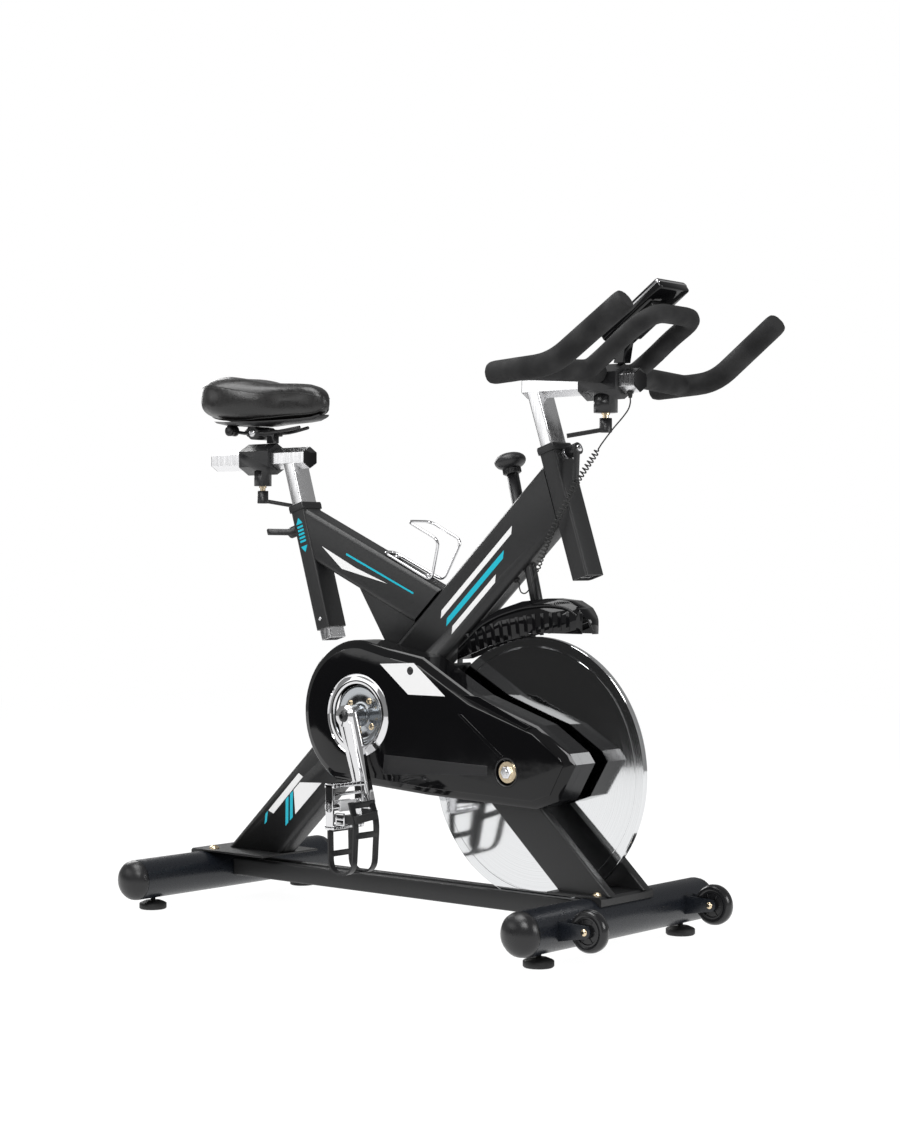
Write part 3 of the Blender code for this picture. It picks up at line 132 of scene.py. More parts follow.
print("flywheel axle at", [round(value, 3) for value in WHEEL])

# %% [markdown]
# ## Camera
#
# A machine this long is best seen from far away through a long lens, level with the seat post, so that
# uprights stay upright. The bike is seen from its drive side and a little from the front.

# %% Camera
AZIMUTH = radians(40.31)
camera_data = bpy.data.cameras.new("camera")
camera_data.lens = 69.78
camera_data.sensor_width = 36.0
camera = bpy.data.objects.new("camera", camera_data)
camera.location = at(2.322, 0.699, -3.190)
camera.rotation_euler = (pi / 2, 0, AZIMUTH)
bpy.context.scene.collection.objects.link(camera)
bpy.context.scene.camera = camera
print("camera stands", round((camera.location - WHEEL).length, 2), "m from the flywheel")

# %% [markdown]
# ## Materials
#
# Every finish starts from one Principled shader. Small surface detail comes from noise on Object
# coordinates, which are metres here, so a scale of 1000 means grains of about a millimetre.

# %% Material helpers
def shader_of(name, colour, roughness, metallic=0.0, **sockets):
    """A material with its Principled shader set, and its nodes at hand."""
    material = bpy.data.materials.new(name)
    material.use_nodes = True
    shader = material.node_tree.nodes["Principled BSDF"]
    shader.inputs["Base Color"].default_value = (*colour, 1.0)
    shader.inputs["Roughness"].default_value = roughness
    shader.inputs["Metallic"].default_value = metallic
    for socket, value in sockets.items():
        shader.inputs[socket.replace("_", " ")].default_value = value
    return material, material.node_tree.nodes, material.node_tree.links, shader


def noise_of(nodes, links, scale, detail=4.0, stretch=(1, 1, 1)):
    """A noise texture on Object coordinates, which may be stretched along an axis."""
    coordinates = nodes.new("ShaderNodeTexCoord")
    mapping = nodes.new("ShaderNodeMapping")
    mapping.inputs["Scale"].default_value = stretch
    noise = nodes.new("ShaderNodeTexNoise")
    noise.inputs["Scale"].default_value = scale
    noise.inputs["Detail"].default_value = detail
    links.new(coordinates.outputs["Object"], mapping.inputs["Vector"])
    links.new(mapping.outputs["Vector"], noise.inputs["Vector"])
    return noise


def pattern_of(nodes, links, kind, scale):
    """Any other texture on Object coordinates."""
    coordinates = nodes.new("ShaderNodeTexCoord")
    pattern = nodes.new(kind)
    pattern.inputs["Scale"].default_value = scale
    links.new(coordinates.outputs["Object"], pattern.inputs["Vector"])
    return pattern


def remap(nodes, links, source, low, high, target):
    """Feeds a socket from a texture, between two values."""
    ramp = nodes.new("ShaderNodeMapRange")
    ramp.inputs["From Min"].default_value = 0.3
    ramp.inputs["From Max"].default_value = 0.7
    ramp.inputs["To Min"].default_value = low
    ramp.inputs["To Max"].default_value = high
    links.new(source, ramp.inputs["Value"])
    links.new(ramp.outputs["Result"], target)


def bump_of(nodes, links, shader, height, strength, distance):
    """Raises a surface by a texture."""
    bump = nodes.new("ShaderNodeBump")
    bump.inputs["Strength"].default_value = strength
    bump.inputs["Distance"].default_value = distance
    links.new(height, bump.inputs["Height"])
    links.new(bump.outputs["Normal"], shader.inputs["Normal"])
    return bump


def tinted(nodes, links, source, dark, light, shader):
    """Varies the colour between two tones."""
    mix = nodes.new("ShaderNodeMix")
    mix.data_type = "RGBA"
    mix.inputs["A"].default_value = (*dark, 1.0)
    mix.inputs["B"].default_value = (*light, 1.0)
    links.new(source, mix.inputs["Factor"])
    links.new(mix.outputs["Result"], shader.inputs["Base Color"])


# %% [markdown]
# Powder coat is a sprayed plastic skin: satin, with an orange-peel ripple a few millimetres across and a
# finer grain in it. The stabilizers have a smoother and bluer coat than the beams.

# %% Painted steel
def powder_coat(name, dark, light, roughness):
    """Sprayed paint in two close tones, with a ripple and a grain."""
    material, nodes, links, shader = shader_of(name, dark, roughness)
    grain = noise_of(nodes, links, 1400, 3)
    peel = noise_of(nodes, links, 260, 2)
    tinted(nodes, links, peel.outputs["Fac"], dark, light, shader)
    remap(nodes, links, peel.outputs["Fac"], roughness - 0.05, roughness + 0.08, shader.inputs["Roughness"])
    bump_of(nodes, links, shader, grain.outputs["Fac"], 0.22, 0.0004)
    return material


FRAME_PAINT = powder_coat("frame_paint", (0.0090, 0.0092, 0.0098), (0.0125, 0.0128, 0.0134), 0.42)
TUBE_PAINT = powder_coat("tube_paint", (0.005, 0.0065, 0.010), (0.008, 0.010, 0.014), 0.30)

# %% [markdown]
# Moulded covers are polished black plastic: almost a mirror, broken by a very slow waviness where the
# moulding has shrunk. It reflects a little less than glass does. Foam and rubber use the same recipe, with
# a coarser grain.

# %% Plastics, rubber and foam
def moulded(name, colour, roughness, wave, grain_scale, grain):
    """Moulded plastic, rubber or foam: a slow wave, and a grain of its own size and depth."""
    material, nodes, links, shader = shader_of(name, colour, roughness)
    fine = noise_of(nodes, links, grain_scale, 3)
    slow = noise_of(nodes, links, 22, 2)
    remap(nodes, links, slow.outputs["Fac"], roughness * 0.8, roughness * 1.25, shader.inputs["Roughness"])
    first = bump_of(nodes, links, shader, slow.outputs["Fac"], wave, 0.002)
    second = bump_of(nodes, links, shader, fine.outputs["Fac"], grain, 0.0003)
    links.new(first.outputs["Normal"], second.inputs["Normal"])
    return material


GLOSS_BLACK = moulded("gloss_black", (0.004, 0.004, 0.0045), 0.07, 0.10, 900, 0.02)
GLOSS_BLACK.node_tree.nodes["Principled BSDF"].inputs["Specular IOR Level"].default_value = 0.34
SATIN_BLACK = moulded("satin_black", (0.010, 0.010, 0.011), 0.34, 0.05, 1800, 0.25)
RUBBER = moulded("rubber", (0.012, 0.012, 0.012), 0.62, 0.05, 1500, 0.35)
WHEEL_BLACK = moulded("wheel_black", (0.009, 0.009, 0.010), 0.22, 0.05, 900, 0.10)
FOAM = moulded("grip_foam", (0.0075, 0.0075, 0.008), 0.85, 0.12, 1100, 0.9)


def leather_of(name):
    """Synthetic leather: rounded pebbles with longer wrinkles among them, under a thin clear coat."""
    material, nodes, links, shader = shader_of(name, (0.009, 0.0085, 0.0085), 0.34)
    shader.inputs["Coat Weight"].default_value = 0.12
    shader.inputs["Coat Roughness"].default_value = 0.30
    cells = pattern_of(nodes, links, "ShaderNodeTexVoronoi", 900)
    wrinkle = noise_of(nodes, links, 160, 5)
    remap(nodes, links, wrinkle.outputs["Fac"], 0.26, 0.40, shader.inputs["Roughness"])
    first = bump_of(nodes, links, shader, wrinkle.outputs["Fac"], 0.25, 0.0008)
    second = bump_of(nodes, links, shader, cells.outputs["Distance"], 0.30, 0.0003)
    links.new(first.outputs["Normal"], second.inputs["Normal"])
    return material


LEATHER = leather_of("leather")

# %% [markdown]
# Bright metal is mostly its surroundings. Chrome gets a trace of waviness, turned steel gets rings about
# its axis and the posts get faint drawing lines along their length.

# %% Metals
def bright(name, colour, roughness, scale, strength, stretch=(1, 1, 1)):
    """Bare or plated metal with faint lines in it."""
    material, nodes, links, shader = shader_of(name, colour, roughness, 1.0)
    lines = noise_of(nodes, links, scale, 3, stretch)
    remap(nodes, links, lines.outputs["Fac"], roughness * 0.75, roughness * 1.3, shader.inputs["Roughness"])
    bump_of(nodes, links, shader, lines.outputs["Fac"], strength, 0.0003)
    return material


CHROME = bright("chrome", (0.72, 0.72, 0.73), 0.06, 60, 0.03)
DISH_CHROME = bright("dish_chrome", (0.42, 0.44, 0.46), 0.16, 90, 0.04)
POST_METAL = bright("post_metal", (0.78, 0.78, 0.79), 0.24, 500, 0.02, (1, 1, 0.05))
STEEL = bright("zinc_steel", (0.60, 0.60, 0.61), 0.25, 900, 0.12)
BRASS = bright("passivated_steel", (0.80, 0.66, 0.46), 0.22, 900, 0.10)


def ringed(name, colour, centre, roughness, rings, strength):
    """Turned metal: the rings are noise read along the distance from the axle."""
    material, nodes, links, shader = shader_of(name, colour, roughness, 1.0)
    coordinates = nodes.new("ShaderNodeTexCoord")
    mapping = nodes.new("ShaderNodeMapping")
    mapping.inputs["Location"].default_value = (-centre.x, 0, -centre.z)
    mapping.inputs["Scale"].default_value = (1, 0, 1)
    distance = nodes.new("ShaderNodeVectorMath")
    distance.operation = "LENGTH"
    links.new(coordinates.outputs["Object"], mapping.inputs["Vector"])
    links.new(mapping.outputs["Vector"], distance.inputs[0])
    ring = nodes.new("ShaderNodeTexNoise")
    ring.noise_dimensions = "1D"
    ring.inputs["Scale"].default_value = rings
    ring.inputs["Detail"].default_value = 5
    links.new(distance.outputs["Value"], ring.inputs["W"])
    remap(nodes, links, ring.outputs["Fac"], roughness * 0.4, roughness * 1.8, shader.inputs["Roughness"])
    tinted(nodes, links, ring.outputs["Fac"], tuple(value * 0.72 for value in colour), colour, shader)
    bump_of(nodes, links, shader, ring.outputs["Fac"], strength, 0.0004)
    return material


MIRROR = ringed("turned_mirror", (0.84, 0.85, 0.86), WHEEL, 0.055, 700, 0.03)

# %% [markdown]
# Printed stripes are ink films, so each is a flat colour with the paint's own grain showing through.

# %% Printed films
def film(name, colour, roughness):
    """Printed ink."""
    material, nodes, links, shader = shader_of(name, colour, roughness)
    grain = noise_of(nodes, links, 1400, 3)
    bump_of(nodes, links, shader, grain.outputs["Fac"], 0.10, 0.0003)
    return material


WHITE_FILM = film("white_film", (0.80, 0.80, 0.80), 0.35)
TEAL_FILM = film("teal_film", (0.0, 0.42, 0.54), 0.35)

# %% [markdown]
# The pedals need two finishes of their own. A reflector is moulded in small prisms under a clear coat, and
# webbing is woven in fine bands.

# %% Reflector and webbing
def prismatic(name):
    """A clear reflector."""
    material, nodes, links, shader = shader_of(name, (0.75, 0.75, 0.76), 0.12)
    shader.inputs["Coat Weight"].default_value = 0.6
    prisms = pattern_of(nodes, links, "ShaderNodeTexVoronoi", 420)
    bump_of(nodes, links, shader, prisms.outputs["Distance"], 0.6, 0.0006)
    return material


def woven(name):
    """Nylon webbing."""
    material, nodes, links, shader = shader_of(name, (0.014, 0.014, 0.015), 0.7)
    weave = pattern_of(nodes, links, "ShaderNodeTexWave", 350)
    weave.bands_direction = "Z"
    bump_of(nodes, links, shader, weave.outputs["Fac"], 0.5, 0.0004)
    return material


REFLECTOR = prismatic("reflector")
WEBBING = woven("webbing")
print("materials:", len(bpy.data.materials))

# %% [markdown]
# ## Making pieces
#
# A few helpers do nearly all of the modelling. `turned` spins a profile about a direction, `plate` pushes
# an outline along a direction, `lofted` skins a row of rings, `brick` is a block with rounded edges and
# `rod` runs a round wire along points. `keep` turns a finished bmesh into a piece that rides on a body.

# %% Modelling helpers
body_of = {}
for body, names in frame["record"]["behaviour"]["bodies"].items():
    for node in names:
        body_of[node] = body
slot_of = {entry["node"]: entry["material_slot"] for entry in frame["record"]["subparts"]}


def settle(made, body, replaces=()):
    """Lets a piece ride on a body, and hides the solids that it stands for."""
    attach(made, body)
    if replaces:
        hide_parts(*replaces)
    return made


def linked(name, bm, material=None):
    """An object from a bmesh, in the scene."""
    mesh = bpy.data.meshes.new(name)
    bm.to_mesh(mesh)
    bm.free()
    if material:
        mesh.materials.append(material)
    made = bpy.data.objects.new(name, mesh)
    bpy.context.scene.collection.objects.link(made)
    return made


def applied(obj):
    """Bakes an object's modifiers into its mesh."""
    bpy.context.view_layer.update()
    evaluated = obj.evaluated_get(bpy.context.evaluated_depsgraph_get())
    result = bpy.data.meshes.new_from_object(evaluated)
    obj.modifiers.clear()
    obj.data = result


def keep(name, bm, material, body, replaces=(), angle=35, bevel=0.0):
    """A finished piece from a bmesh. Edges sharper than the angle stay crisp, and a bevel softens them."""
    bmesh.ops.remove_doubles(bm, verts=bm.verts, dist=0.00001)
    bmesh.ops.recalc_face_normals(bm, faces=bm.faces)
    made = linked(name, bm, material)
    made.data.shade_smooth()
    made.data.set_sharp_from_angle(angle=radians(angle))
    if bevel:
        rounding = made.modifiers.new("soften", "BEVEL")
        rounding.width = bevel
        rounding.segments = 2
        rounding.limit_method = "ANGLE"
        rounding.angle_limit = radians(40)
        rounding.use_clamp_overlap = True
    return settle(made, body, replaces)


def turned(profile, direction, origin, steps=64):
    """A solid turned about a direction, from (radius, distance along it) points."""
    bm = bmesh.new()
    corners = [bm.verts.new((radius, 0, along)) for radius, along in profile]
    edges = [bm.edges.new(pair) for pair in zip(corners, corners[1:])]
    if profile[0][0] > 0:
        edges.append(bm.edges.new((corners[-1], corners[0])))
    bmesh.ops.spin(bm, geom=corners + edges, axis=(0, 0, 1), angle=2 * pi, steps=steps, use_merge=True)
    bmesh.ops.transform(bm, matrix=place(direction, origin), verts=bm.verts)
    return bm


def plate(outline, push):
    """A flat piece from 3-D outline points, pushed along a vector."""
    bm = bmesh.new()
    face = bm.faces.new([bm.verts.new(point) for point in outline])
    grown = bmesh.ops.extrude_face_region(bm, geom=[face])["geom"]
    bmesh.ops.translate(bm, vec=push, verts=[item for item in grown if isinstance(item, bmesh.types.BMVert)])
    return bm


def lofted(rings, closed=False):
    """A skin over rings of points, capped at both ends or closed on itself."""
    bm = bmesh.new()
    rows = [[bm.verts.new(point) for point in ring] for ring in rings]
    count = len(rows[0])
    for low, high in zip(rows, rows[1:] + (rows[:1] if closed else [])):
        for k in range(count):
            bm.faces.new((low[k], low[(k + 1) % count], high[(k + 1) % count], high[k]))
    if not closed:
        bm.faces.new(rows[0][::-1])
        bm.faces.new(rows[-1])
    return bm


def soften(bm, edges, width, segments=3):
    """Rounds edges."""
    bmesh.ops.bevel(bm, geom=edges, offset=width, segments=segments, profile=0.5, affect="EDGES", material=-1)


def brick(size, matrix, bevel=0.001):
    """A block with rounded edges."""
    bm = bmesh.new()
    bmesh.ops.create_cube(bm, size=1.0, matrix=Matrix.Diagonal((*size, 1)))
    soften(bm, bm.edges[:], bevel)
    bmesh.ops.transform(bm, matrix=matrix, verts=bm.verts)
    return bm


def joined(*solids):
    """Several bmeshes in one, for pieces made of many small solids."""
    whole = bmesh.new()
    for bm in solids:
        mesh = bpy.data.meshes.new("passing")
        bm.to_mesh(mesh)
        bm.free()
        whole.from_mesh(mesh)
        bpy.data.meshes.remove(mesh)
    return whole


def rod(name, points, radius, material, body, replaces=(), closed=False, sides=5):
    """A round wire along points."""
    curve = bpy.data.curves.new(name, "CURVE")
    curve.dimensions = "3D"
    curve.bevel_depth = radius
    curve.bevel_resolution = sides
    curve.use_fill_caps = True
    spline = curve.splines.new("POLY")
    spline.points.add(len(points) - 1)
    for spot, point in zip(spline.points, points):
        spot.co = (*point, 1.0)
    spline.use_cyclic_u = closed
    curve.materials.append(material)
    made = bpy.data.objects.new(name, curve)
    bpy.context.scene.collection.objects.link(made)
    return settle(made, body, replaces)


def circle(centre, radius, start, end, steps, y):
    """Points on an upright circle, in degrees from +X."""
    turns = [radians(start + (end - start) * k / steps) for k in range(steps + 1)]
    return [Vector((centre.x + radius * cos(t), y, centre.z + radius * sin(t))) for t in turns]


def rounded(points, radius, steps=8):
    """A run of points with every inner corner rounded."""
    run = [Vector(points[0])]
    for before, corner, after in zip(points, points[1:], points[2:]):
        back, onward = Vector(before) - Vector(corner), Vector(after) - Vector(corner)
        reach = min(radius, back.length * 0.49, onward.length * 0.49)
        start, end = Vector(corner) + back.normalized() * reach, Vector(corner) + onward.normalized() * reach
        for k in range(steps + 1):
            t = k / steps
            run.append(start * (1 - t) ** 2 + Vector(corner) * 2 * t * (1 - t) + end * t ** 2)
    return run + [Vector(points[-1])]


def heading(points, k):
    """The direction of a run of points at one of them."""
    return (points[min(k + 1, len(points) - 1)] - points[max(k - 1, 0)]).normalized()


# %% [markdown]
# ## Solids that only need a finish
#
# A solid's mesh is loose triangles with flat shading. A copy whose points are merged can be shaded smooth,
# so that a tube looks round, and a narrow bevel gives each cut edge the thin highlight of real sheet and
# tube.

# %% Polishing a solid
# A node's slot in the frame's record names its finish.
FINISH_OF = {"frame_paint": FRAME_PAINT, "tube_paint": TUBE_PAINT, "gloss_cover": GLOSS_BLACK,
             "matte_plastic": SATIN_BLACK, "foam": FOAM, "leather": LEATHER, "rubber": RUBBER,
             "chrome": CHROME, "steel": STEEL, "post_metal": POST_METAL, "flywheel_metal": MIRROR}


def polish(node, material=None, angle=35, bevel=0.0):
    """A smooth copy of a solid that stands for it."""
    source = frame["nodes"][node]
    bm = bmesh.new()
    bm.from_mesh(source.data)
    bmesh.ops.remove_doubles(bm, verts=bm.verts, dist=0.00002)
    if bevel:
        bmesh.ops.dissolve_limit(bm, angle_limit=radians(0.5), verts=bm.verts, edges=bm.edges)
    slot = slot_of[node]
    return keep(f"{node}_finish", bm, material or FINISH_OF[slot], body_of[node], (node,), angle, bevel)


for node in ("bottom_rail_right", "bottom_rail_left", "front_mount_plate", "rear_mount_plate", "fork_crown",
             "seat_sleeve", "head_sleeve", "seat_post", "handlebar_post", "seat_beam"):
    polish(node, angle=30, bevel=0.0006)
for node in ("main_beam", "fork_leg_right", "fork_leg_left", "front_cap_right", "front_cap_left",
             "rear_cap_right", "rear_cap_left", "bottle_cage", "belt_cover_inner", "drive_belt",
             "flywheel_axle", "flywheel_pulley", "drive_pulley", "seat_carriage", "saddle_clamp",
             "saddle_base", "handlebar_carriage", "brake_rod", "brake_pad", "front_foot_right",
             "front_foot_left", "rear_foot_right", "rear_foot_left", "cord_grommet", "cord_relief",
             "seat_slide_lever", "seat_height_lever", "handlebar_slide_lever", "handlebar_height_lever",
             "crank_arm_right", "crank_arm_left"):
    polish(node)

# %% [markdown]
# ## Flywheel
#
# The flywheel is a heavy disc, turned on both faces and chromed. Its rim has a rounded edge that shows as a
# bright line, and a shallow step runs round inside it where the tool stopped.

# %% Flywheel
wheel_low, wheel_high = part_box("flywheel")
WHEEL_R = (wheel_high.x - wheel_low.x) / 2
DISC_HALF = 0.006
HUB_HALF = wheel_high.y
EDGE = 0.0012
STEP = 0.0005
half_profile = [(0.0085, HUB_HALF), (0.020, HUB_HALF), (0.028, HUB_HALF - 0.0015), (0.028, DISC_HALF + 0.001),
                (0.034, DISC_HALF), (WHEEL_R - 0.020, DISC_HALF), (WHEEL_R - 0.0195, DISC_HALF - STEP),
                (WHEEL_R - 0.0180, DISC_HALF - STEP), (WHEEL_R - 0.0175, DISC_HALF),
                (WHEEL_R - EDGE, DISC_HALF), (WHEEL_R - 0.0004, DISC_HALF - STEP),
                (WHEEL_R, DISC_HALF - EDGE)]
profile = half_profile + [(radius, -along) for radius, along in reversed(half_profile)]
keep("flywheel_disc", turned(profile, SIDE, WHEEL, 160), MIRROR, "flywheel",
     ("flywheel",), 20)
print("flywheel across:", round(WHEEL_R * 2, 3), "m")

# %% [markdown]
# ## Belt cover
#
# The outer cover is one glossy moulding. A raised panel follows its outline, a chromed ring lines the hole
# for the crank, and a pale film shows where the cover narrows towards the flywheel's axle.

# %% Belt cover
COVER_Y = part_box("belt_cover_outer")[0].y
PANEL_RISE = 0.0022
PANEL_Y = COVER_Y - PANEL_RISE
polish("belt_cover_outer", GLOSS_BLACK, angle=25)
panel = [(-0.366, 0.275), (-0.114, 0.267), (-0.072, 0.281), (-0.042, 0.336), (-0.048, 0.347), (-0.112, 0.389),
         (-0.262, 0.437), (-0.332, 0.475), (-0.385, 0.504), (-0.465, 0.518)]
rear = circle(at(-0.546, 0.406), 0.128, 84, 244, 40, COVER_Y)
outline = [at(x, z, COVER_Y) for x, z in panel] + rear
raised = plate(outline, -SIDE * PANEL_RISE)
broad = [item for item in raised.faces if len(item.verts) == len(outline)]
front = min(broad, key=lambda item: item.calc_center_median().y)
soften(raised, list(front.edges), 0.0018)
cover_panel = keep("cover_panel", raised, GLOSS_BLACK, "frame", (), 25)


def hole(target, name, radius, centre, depth=0.05):
    """Cuts a round hole across the bike, with a cutter that is thrown away."""
    bm = turned([(0, -depth), (radius, -depth), (radius, depth), (0, depth)], SIDE, centre, 72)
    bmesh.ops.recalc_face_normals(bm, faces=bm.faces)
    cutter = linked(name, bm)
    cut = target.modifiers.new("hole", "BOOLEAN")
    cut.operation = "DIFFERENCE"
    cut.solver = "EXACT"
    cut.object = cutter
    applied(target)
    bpy.data.objects.remove(cutter)


hub = Vector((CRANK.x, COVER_Y, CRANK.z))
axle = Vector((WHEEL.x, COVER_Y, WHEEL.z))
hole(cover_panel, "hub_hole", 0.0805, hub)
hole(cover_panel, "axle_hole", 0.0275, axle)
bezel = [(0.0612, 0.002), (0.0612, -0.0035), (0.0640, -0.0050), (0.0700, -0.0042), (0.0755, -0.0012),
         (0.0785, -0.0005), (0.0800, -0.0022), (0.0800, 0.0000), (0.0660, 0.0010)]
keep("cover_bezel", turned(bezel, SIDE, hub, 96), CHROME, "frame", (), 50)
ring = [(0.0242, 0.002), (0.0242, -0.0024), (0.0252, -0.0032), (0.0268, -0.0024), (0.0272, 0.0000)]
keep("cover_axle_ring", turned(ring, SIDE, axle, 48), SATIN_BLACK, "frame", (), 50)

washer = [(0, 0.004), (0.0205, 0.004), (0.0205, 0.0005), (0.0195, -0.0005), (0, -0.0005)]
keep("axle_washer", turned(washer, SIDE, axle + SIDE * 0.001, 40), BRASS, "frame", (), 40)
nut = [(0, 0.001), (0.0125, 0.001), (0.0125, -0.004), (0.0105, -0.0055), (0.0060, -0.0055), (0.0055, -0.0070),
       (0, -0.0070)]
keep("axle_nut", turned(nut, SIDE, axle, 6), CHROME, "frame", (), 25, 0.0006)

SCREW = at(-0.405, 0.494, PANEL_Y)
FILM = 0.0003


def laid(corners):
    """Points on the panel's face."""
    return [at(x, z, PANEL_Y) for x, z in corners]


sticker = laid([(-0.482, 0.505), (-0.396, 0.509), (-0.318, 0.449), (-0.410, 0.449)])
sticker_film = keep("cover_sticker", plate(sticker, -SIDE * FILM), WHITE_FILM, "frame")
hole(sticker_film, "sticker_hole", 0.0078, SCREW)
screw_profile = [(0, -0.0015), (0.0048, -0.0015), (0.0058, -0.0006), (0.0060, 0.001), (0, 0.001)]
keep("cover_screw", turned(screw_profile, SIDE, SCREW, 32), SATIN_BLACK, "frame", (), 50)
for name, corners, rise, material, edge in (
        ("vent", [(-0.474, 0.294), (-0.215, 0.308), (-0.215, 0.325), (-0.470, 0.332)],
         0.0012, SATIN_BLACK, 0.0006),
        ("ridge", [(-0.283, 0.454), (-0.235, 0.452), (-0.114, 0.402), (-0.126, 0.397)],
         0.0016, GLOSS_BLACK, 0.0008),
        ("rib", [(-0.286, 0.417), (-0.277, 0.417), (-0.178, 0.345), (-0.186, 0.341)],
         0.0014, GLOSS_BLACK, 0.0006)):
    keep(f"cover_{name}", plate(laid(corners), -SIDE * rise), material, "frame", (), 25, edge)
print("cover face at y =", round(COVER_Y, 4))

# %% [markdown]
# ## Fender
#
# The wheel cover is a glossy shell with upright ribs along both flanks, under a smooth lip. The ribs catch
# the light one by one, which is what makes the shell read as a moulding.

# %% Fender
polish("fender", GLOSS_BLACK, angle=40)
FENDER_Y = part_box("fender")[1].y
RIBS = 13
for hand, side in SIDES:
    solids = []
    for k in range(RIBS):
        share = k / (RIBS - 1)
        x = -0.318 + 0.235 * share
        low = 0.527 + 0.048 * (1 - (1 - share) ** 1.6)
        high = 0.565 + 0.043 * (1 - (1 - share) ** 2.2)
        spot = at(x, (low + high) / 2, side * FENDER_Y)
        turn = Matrix.Translation(spot) @ Matrix.Rotation(radians(-14 + 14 * share), 4, "Y")
        solids.append(brick((0.0085, 0.0024, high - low), turn, 0.0008))
    keep(f"fender_ribs_{hand}", joined(*solids), GLOSS_BLACK, "frame")
lip = [(-0.344, 0.541), (-0.290, 0.586), (-0.245, 0.606), (-0.189, 0.621), (-0.130, 0.627), (-0.085, 0.622),
       (-0.062, 0.608)]
for hand, side in SIDES:
    run = rounded([at(x, z - 0.006, side * (FENDER_Y + 0.0002)) for x, z in lip], 0.02)
    rod(f"fender_lip_{hand}", run, 0.0022, GLOSS_BLACK, "frame")
print("fender ribs:", RIBS * 2)

# %% [markdown]
# ## Printed stripes
#
# The beams carry plain stripes in white and teal. Each stripe is a thin film laid on the beam's near face,
# drawn in the beam's own directions: along it, and across it.

# %% Stripes
BEAM_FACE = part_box("seat_beam")[0].y
BANDS = 3
BAND_STEP, BAND_WIDE, BAND_LEAN = 0.020, 0.010, 0.012


def stripe(name, corners, start, run, over, material, y=BEAM_FACE):
    """A film on a beam's near face, from (along, across) corners."""
    outline = [start + run * along + over * across + SIDE * y for along, across in corners]
    return keep(name, plate(outline, -SIDE * FILM), material, "frame")


BEAM_STRIPES = (
    ("beam_bar_white", [(-0.878, 0.034), (-0.874, 0.021), (-0.990, 0.019), (-0.997, 0.033)], WHITE_FILM),
    ("beam_wedge_white", [(-0.888, 0.018), (-0.842, -0.021), (-0.942, -0.021), (-0.912, 0.018)], WHITE_FILM),
    ("beam_bar_teal", [(-0.926, 0.018), (-0.915, 0.018), (-0.952, -0.021), (-0.963, -0.021)], TEAL_FILM),
    ("beam_bar_teal_rear", [(-0.943, 0.018), (-0.932, 0.018), (-0.969, -0.021), (-0.980, -0.021)], TEAL_FILM),
    ("beam_tick_teal", [(-1.008, 0.033), (-0.999, 0.033), (-1.016, 0.019), (-1.025, 0.019)], TEAL_FILM))
SEAT_STRIPES = (
    ("seat_blade_white", [(-0.047, -0.006), (0.057, -0.008), (0.143, -0.002), (0.021, -0.025)], WHITE_FILM),
    ("seat_line_teal", [(0.020, 0.0085), (0.213, 0.0105), (0.213, 0.0070), (0.020, 0.0045)], TEAL_FILM))
for hand, y in (("right", BEAM_FACE), ("left", -BEAM_FACE + FILM)):
    for name, corners, material in BEAM_STRIPES:
        stripe(f"{name}_{hand}", corners, BEAM_START, BEAM_RUN, BEAM_OVER, material, y)
    for k in range(BANDS):
        high = 0.020 - BAND_STEP * k
        near, far = -0.372, -0.137 - 0.045 * k
        low = high - BAND_WIDE
        band = [(near, high), (far, high), (far - BAND_LEAN, low), (near - BAND_LEAN, low)]
        material = TEAL_FILM if k == 1 else WHITE_FILM
        stripe(f"beam_band_{k}_{hand}", band, BEAM_START, BEAM_RUN, BEAM_OVER, material, y)
    for name, corners, material in SEAT_STRIPES:
        stripe(f"{name}_{hand}", corners, SEAT_START, SEAT_RUN, SEAT_OVER, material, y)

# %% [markdown]
# The seat sleeve carries a ladder of five short bars between two arrowheads, which marks the way that the
# seat slides.

# %% Height marks
SLEEVE_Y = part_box("seat_sleeve")[0].y
MARK_HALF = 0.008
marks = [("top", [(0.232, 0.0), (0.219, 0.009), (0.219, -0.009)]),
         ("end", [(0.160, 0.0), (0.173, -0.009), (0.173, 0.009)])]
for k in range(5):
    low = 0.181 + 0.0075 * k
    high = low + 0.0042
    marks.append((str(k), [(low, MARK_HALF), (low, -MARK_HALF), (high, -MARK_HALF), (high, MARK_HALF)]))
for label, corners in marks:
    stripe(f"height_mark_{label}", corners, SEAT_FOOT, SEAT_UP, SEAT_FRONT, TEAL_FILM, SLEEVE_Y)
print("stripes laid")

# %% [markdown]
# ## Sleeve collars and rail caps
#
# A plastic collar closes the gap between each post and its sleeve, so that the post slides without
# rattling. The six-sided rails end in push-in caps.

# %% Collars
def collar(name, top, up, front, depth, width, body):
    """A rounded frame round a post, on top of its sleeve."""
    rings = []
    for height, grow in ((-0.010, 0.0016), (-0.001, 0.0020), (0.003, 0.0014), (0.0042, 0.0),
                         (0.0042, -0.0032), (-0.010, -0.0032)):
        u, v = depth / 2 + grow, width / 2 + grow
        rings.append([top + up * height + front * a + SIDE * b
                      for a, b in ((u, v), (-u, v), (-u, -v), (u, -v))])
    bm = lofted(rings, closed=True)
    upright = [e for e in bm.edges if abs((e.verts[0].co - e.verts[1].co).normalized().dot(up)) > 0.6]
    soften(bm, upright, 0.0035)
    return keep(name, bm, SATIN_BLACK, body, (), 40)


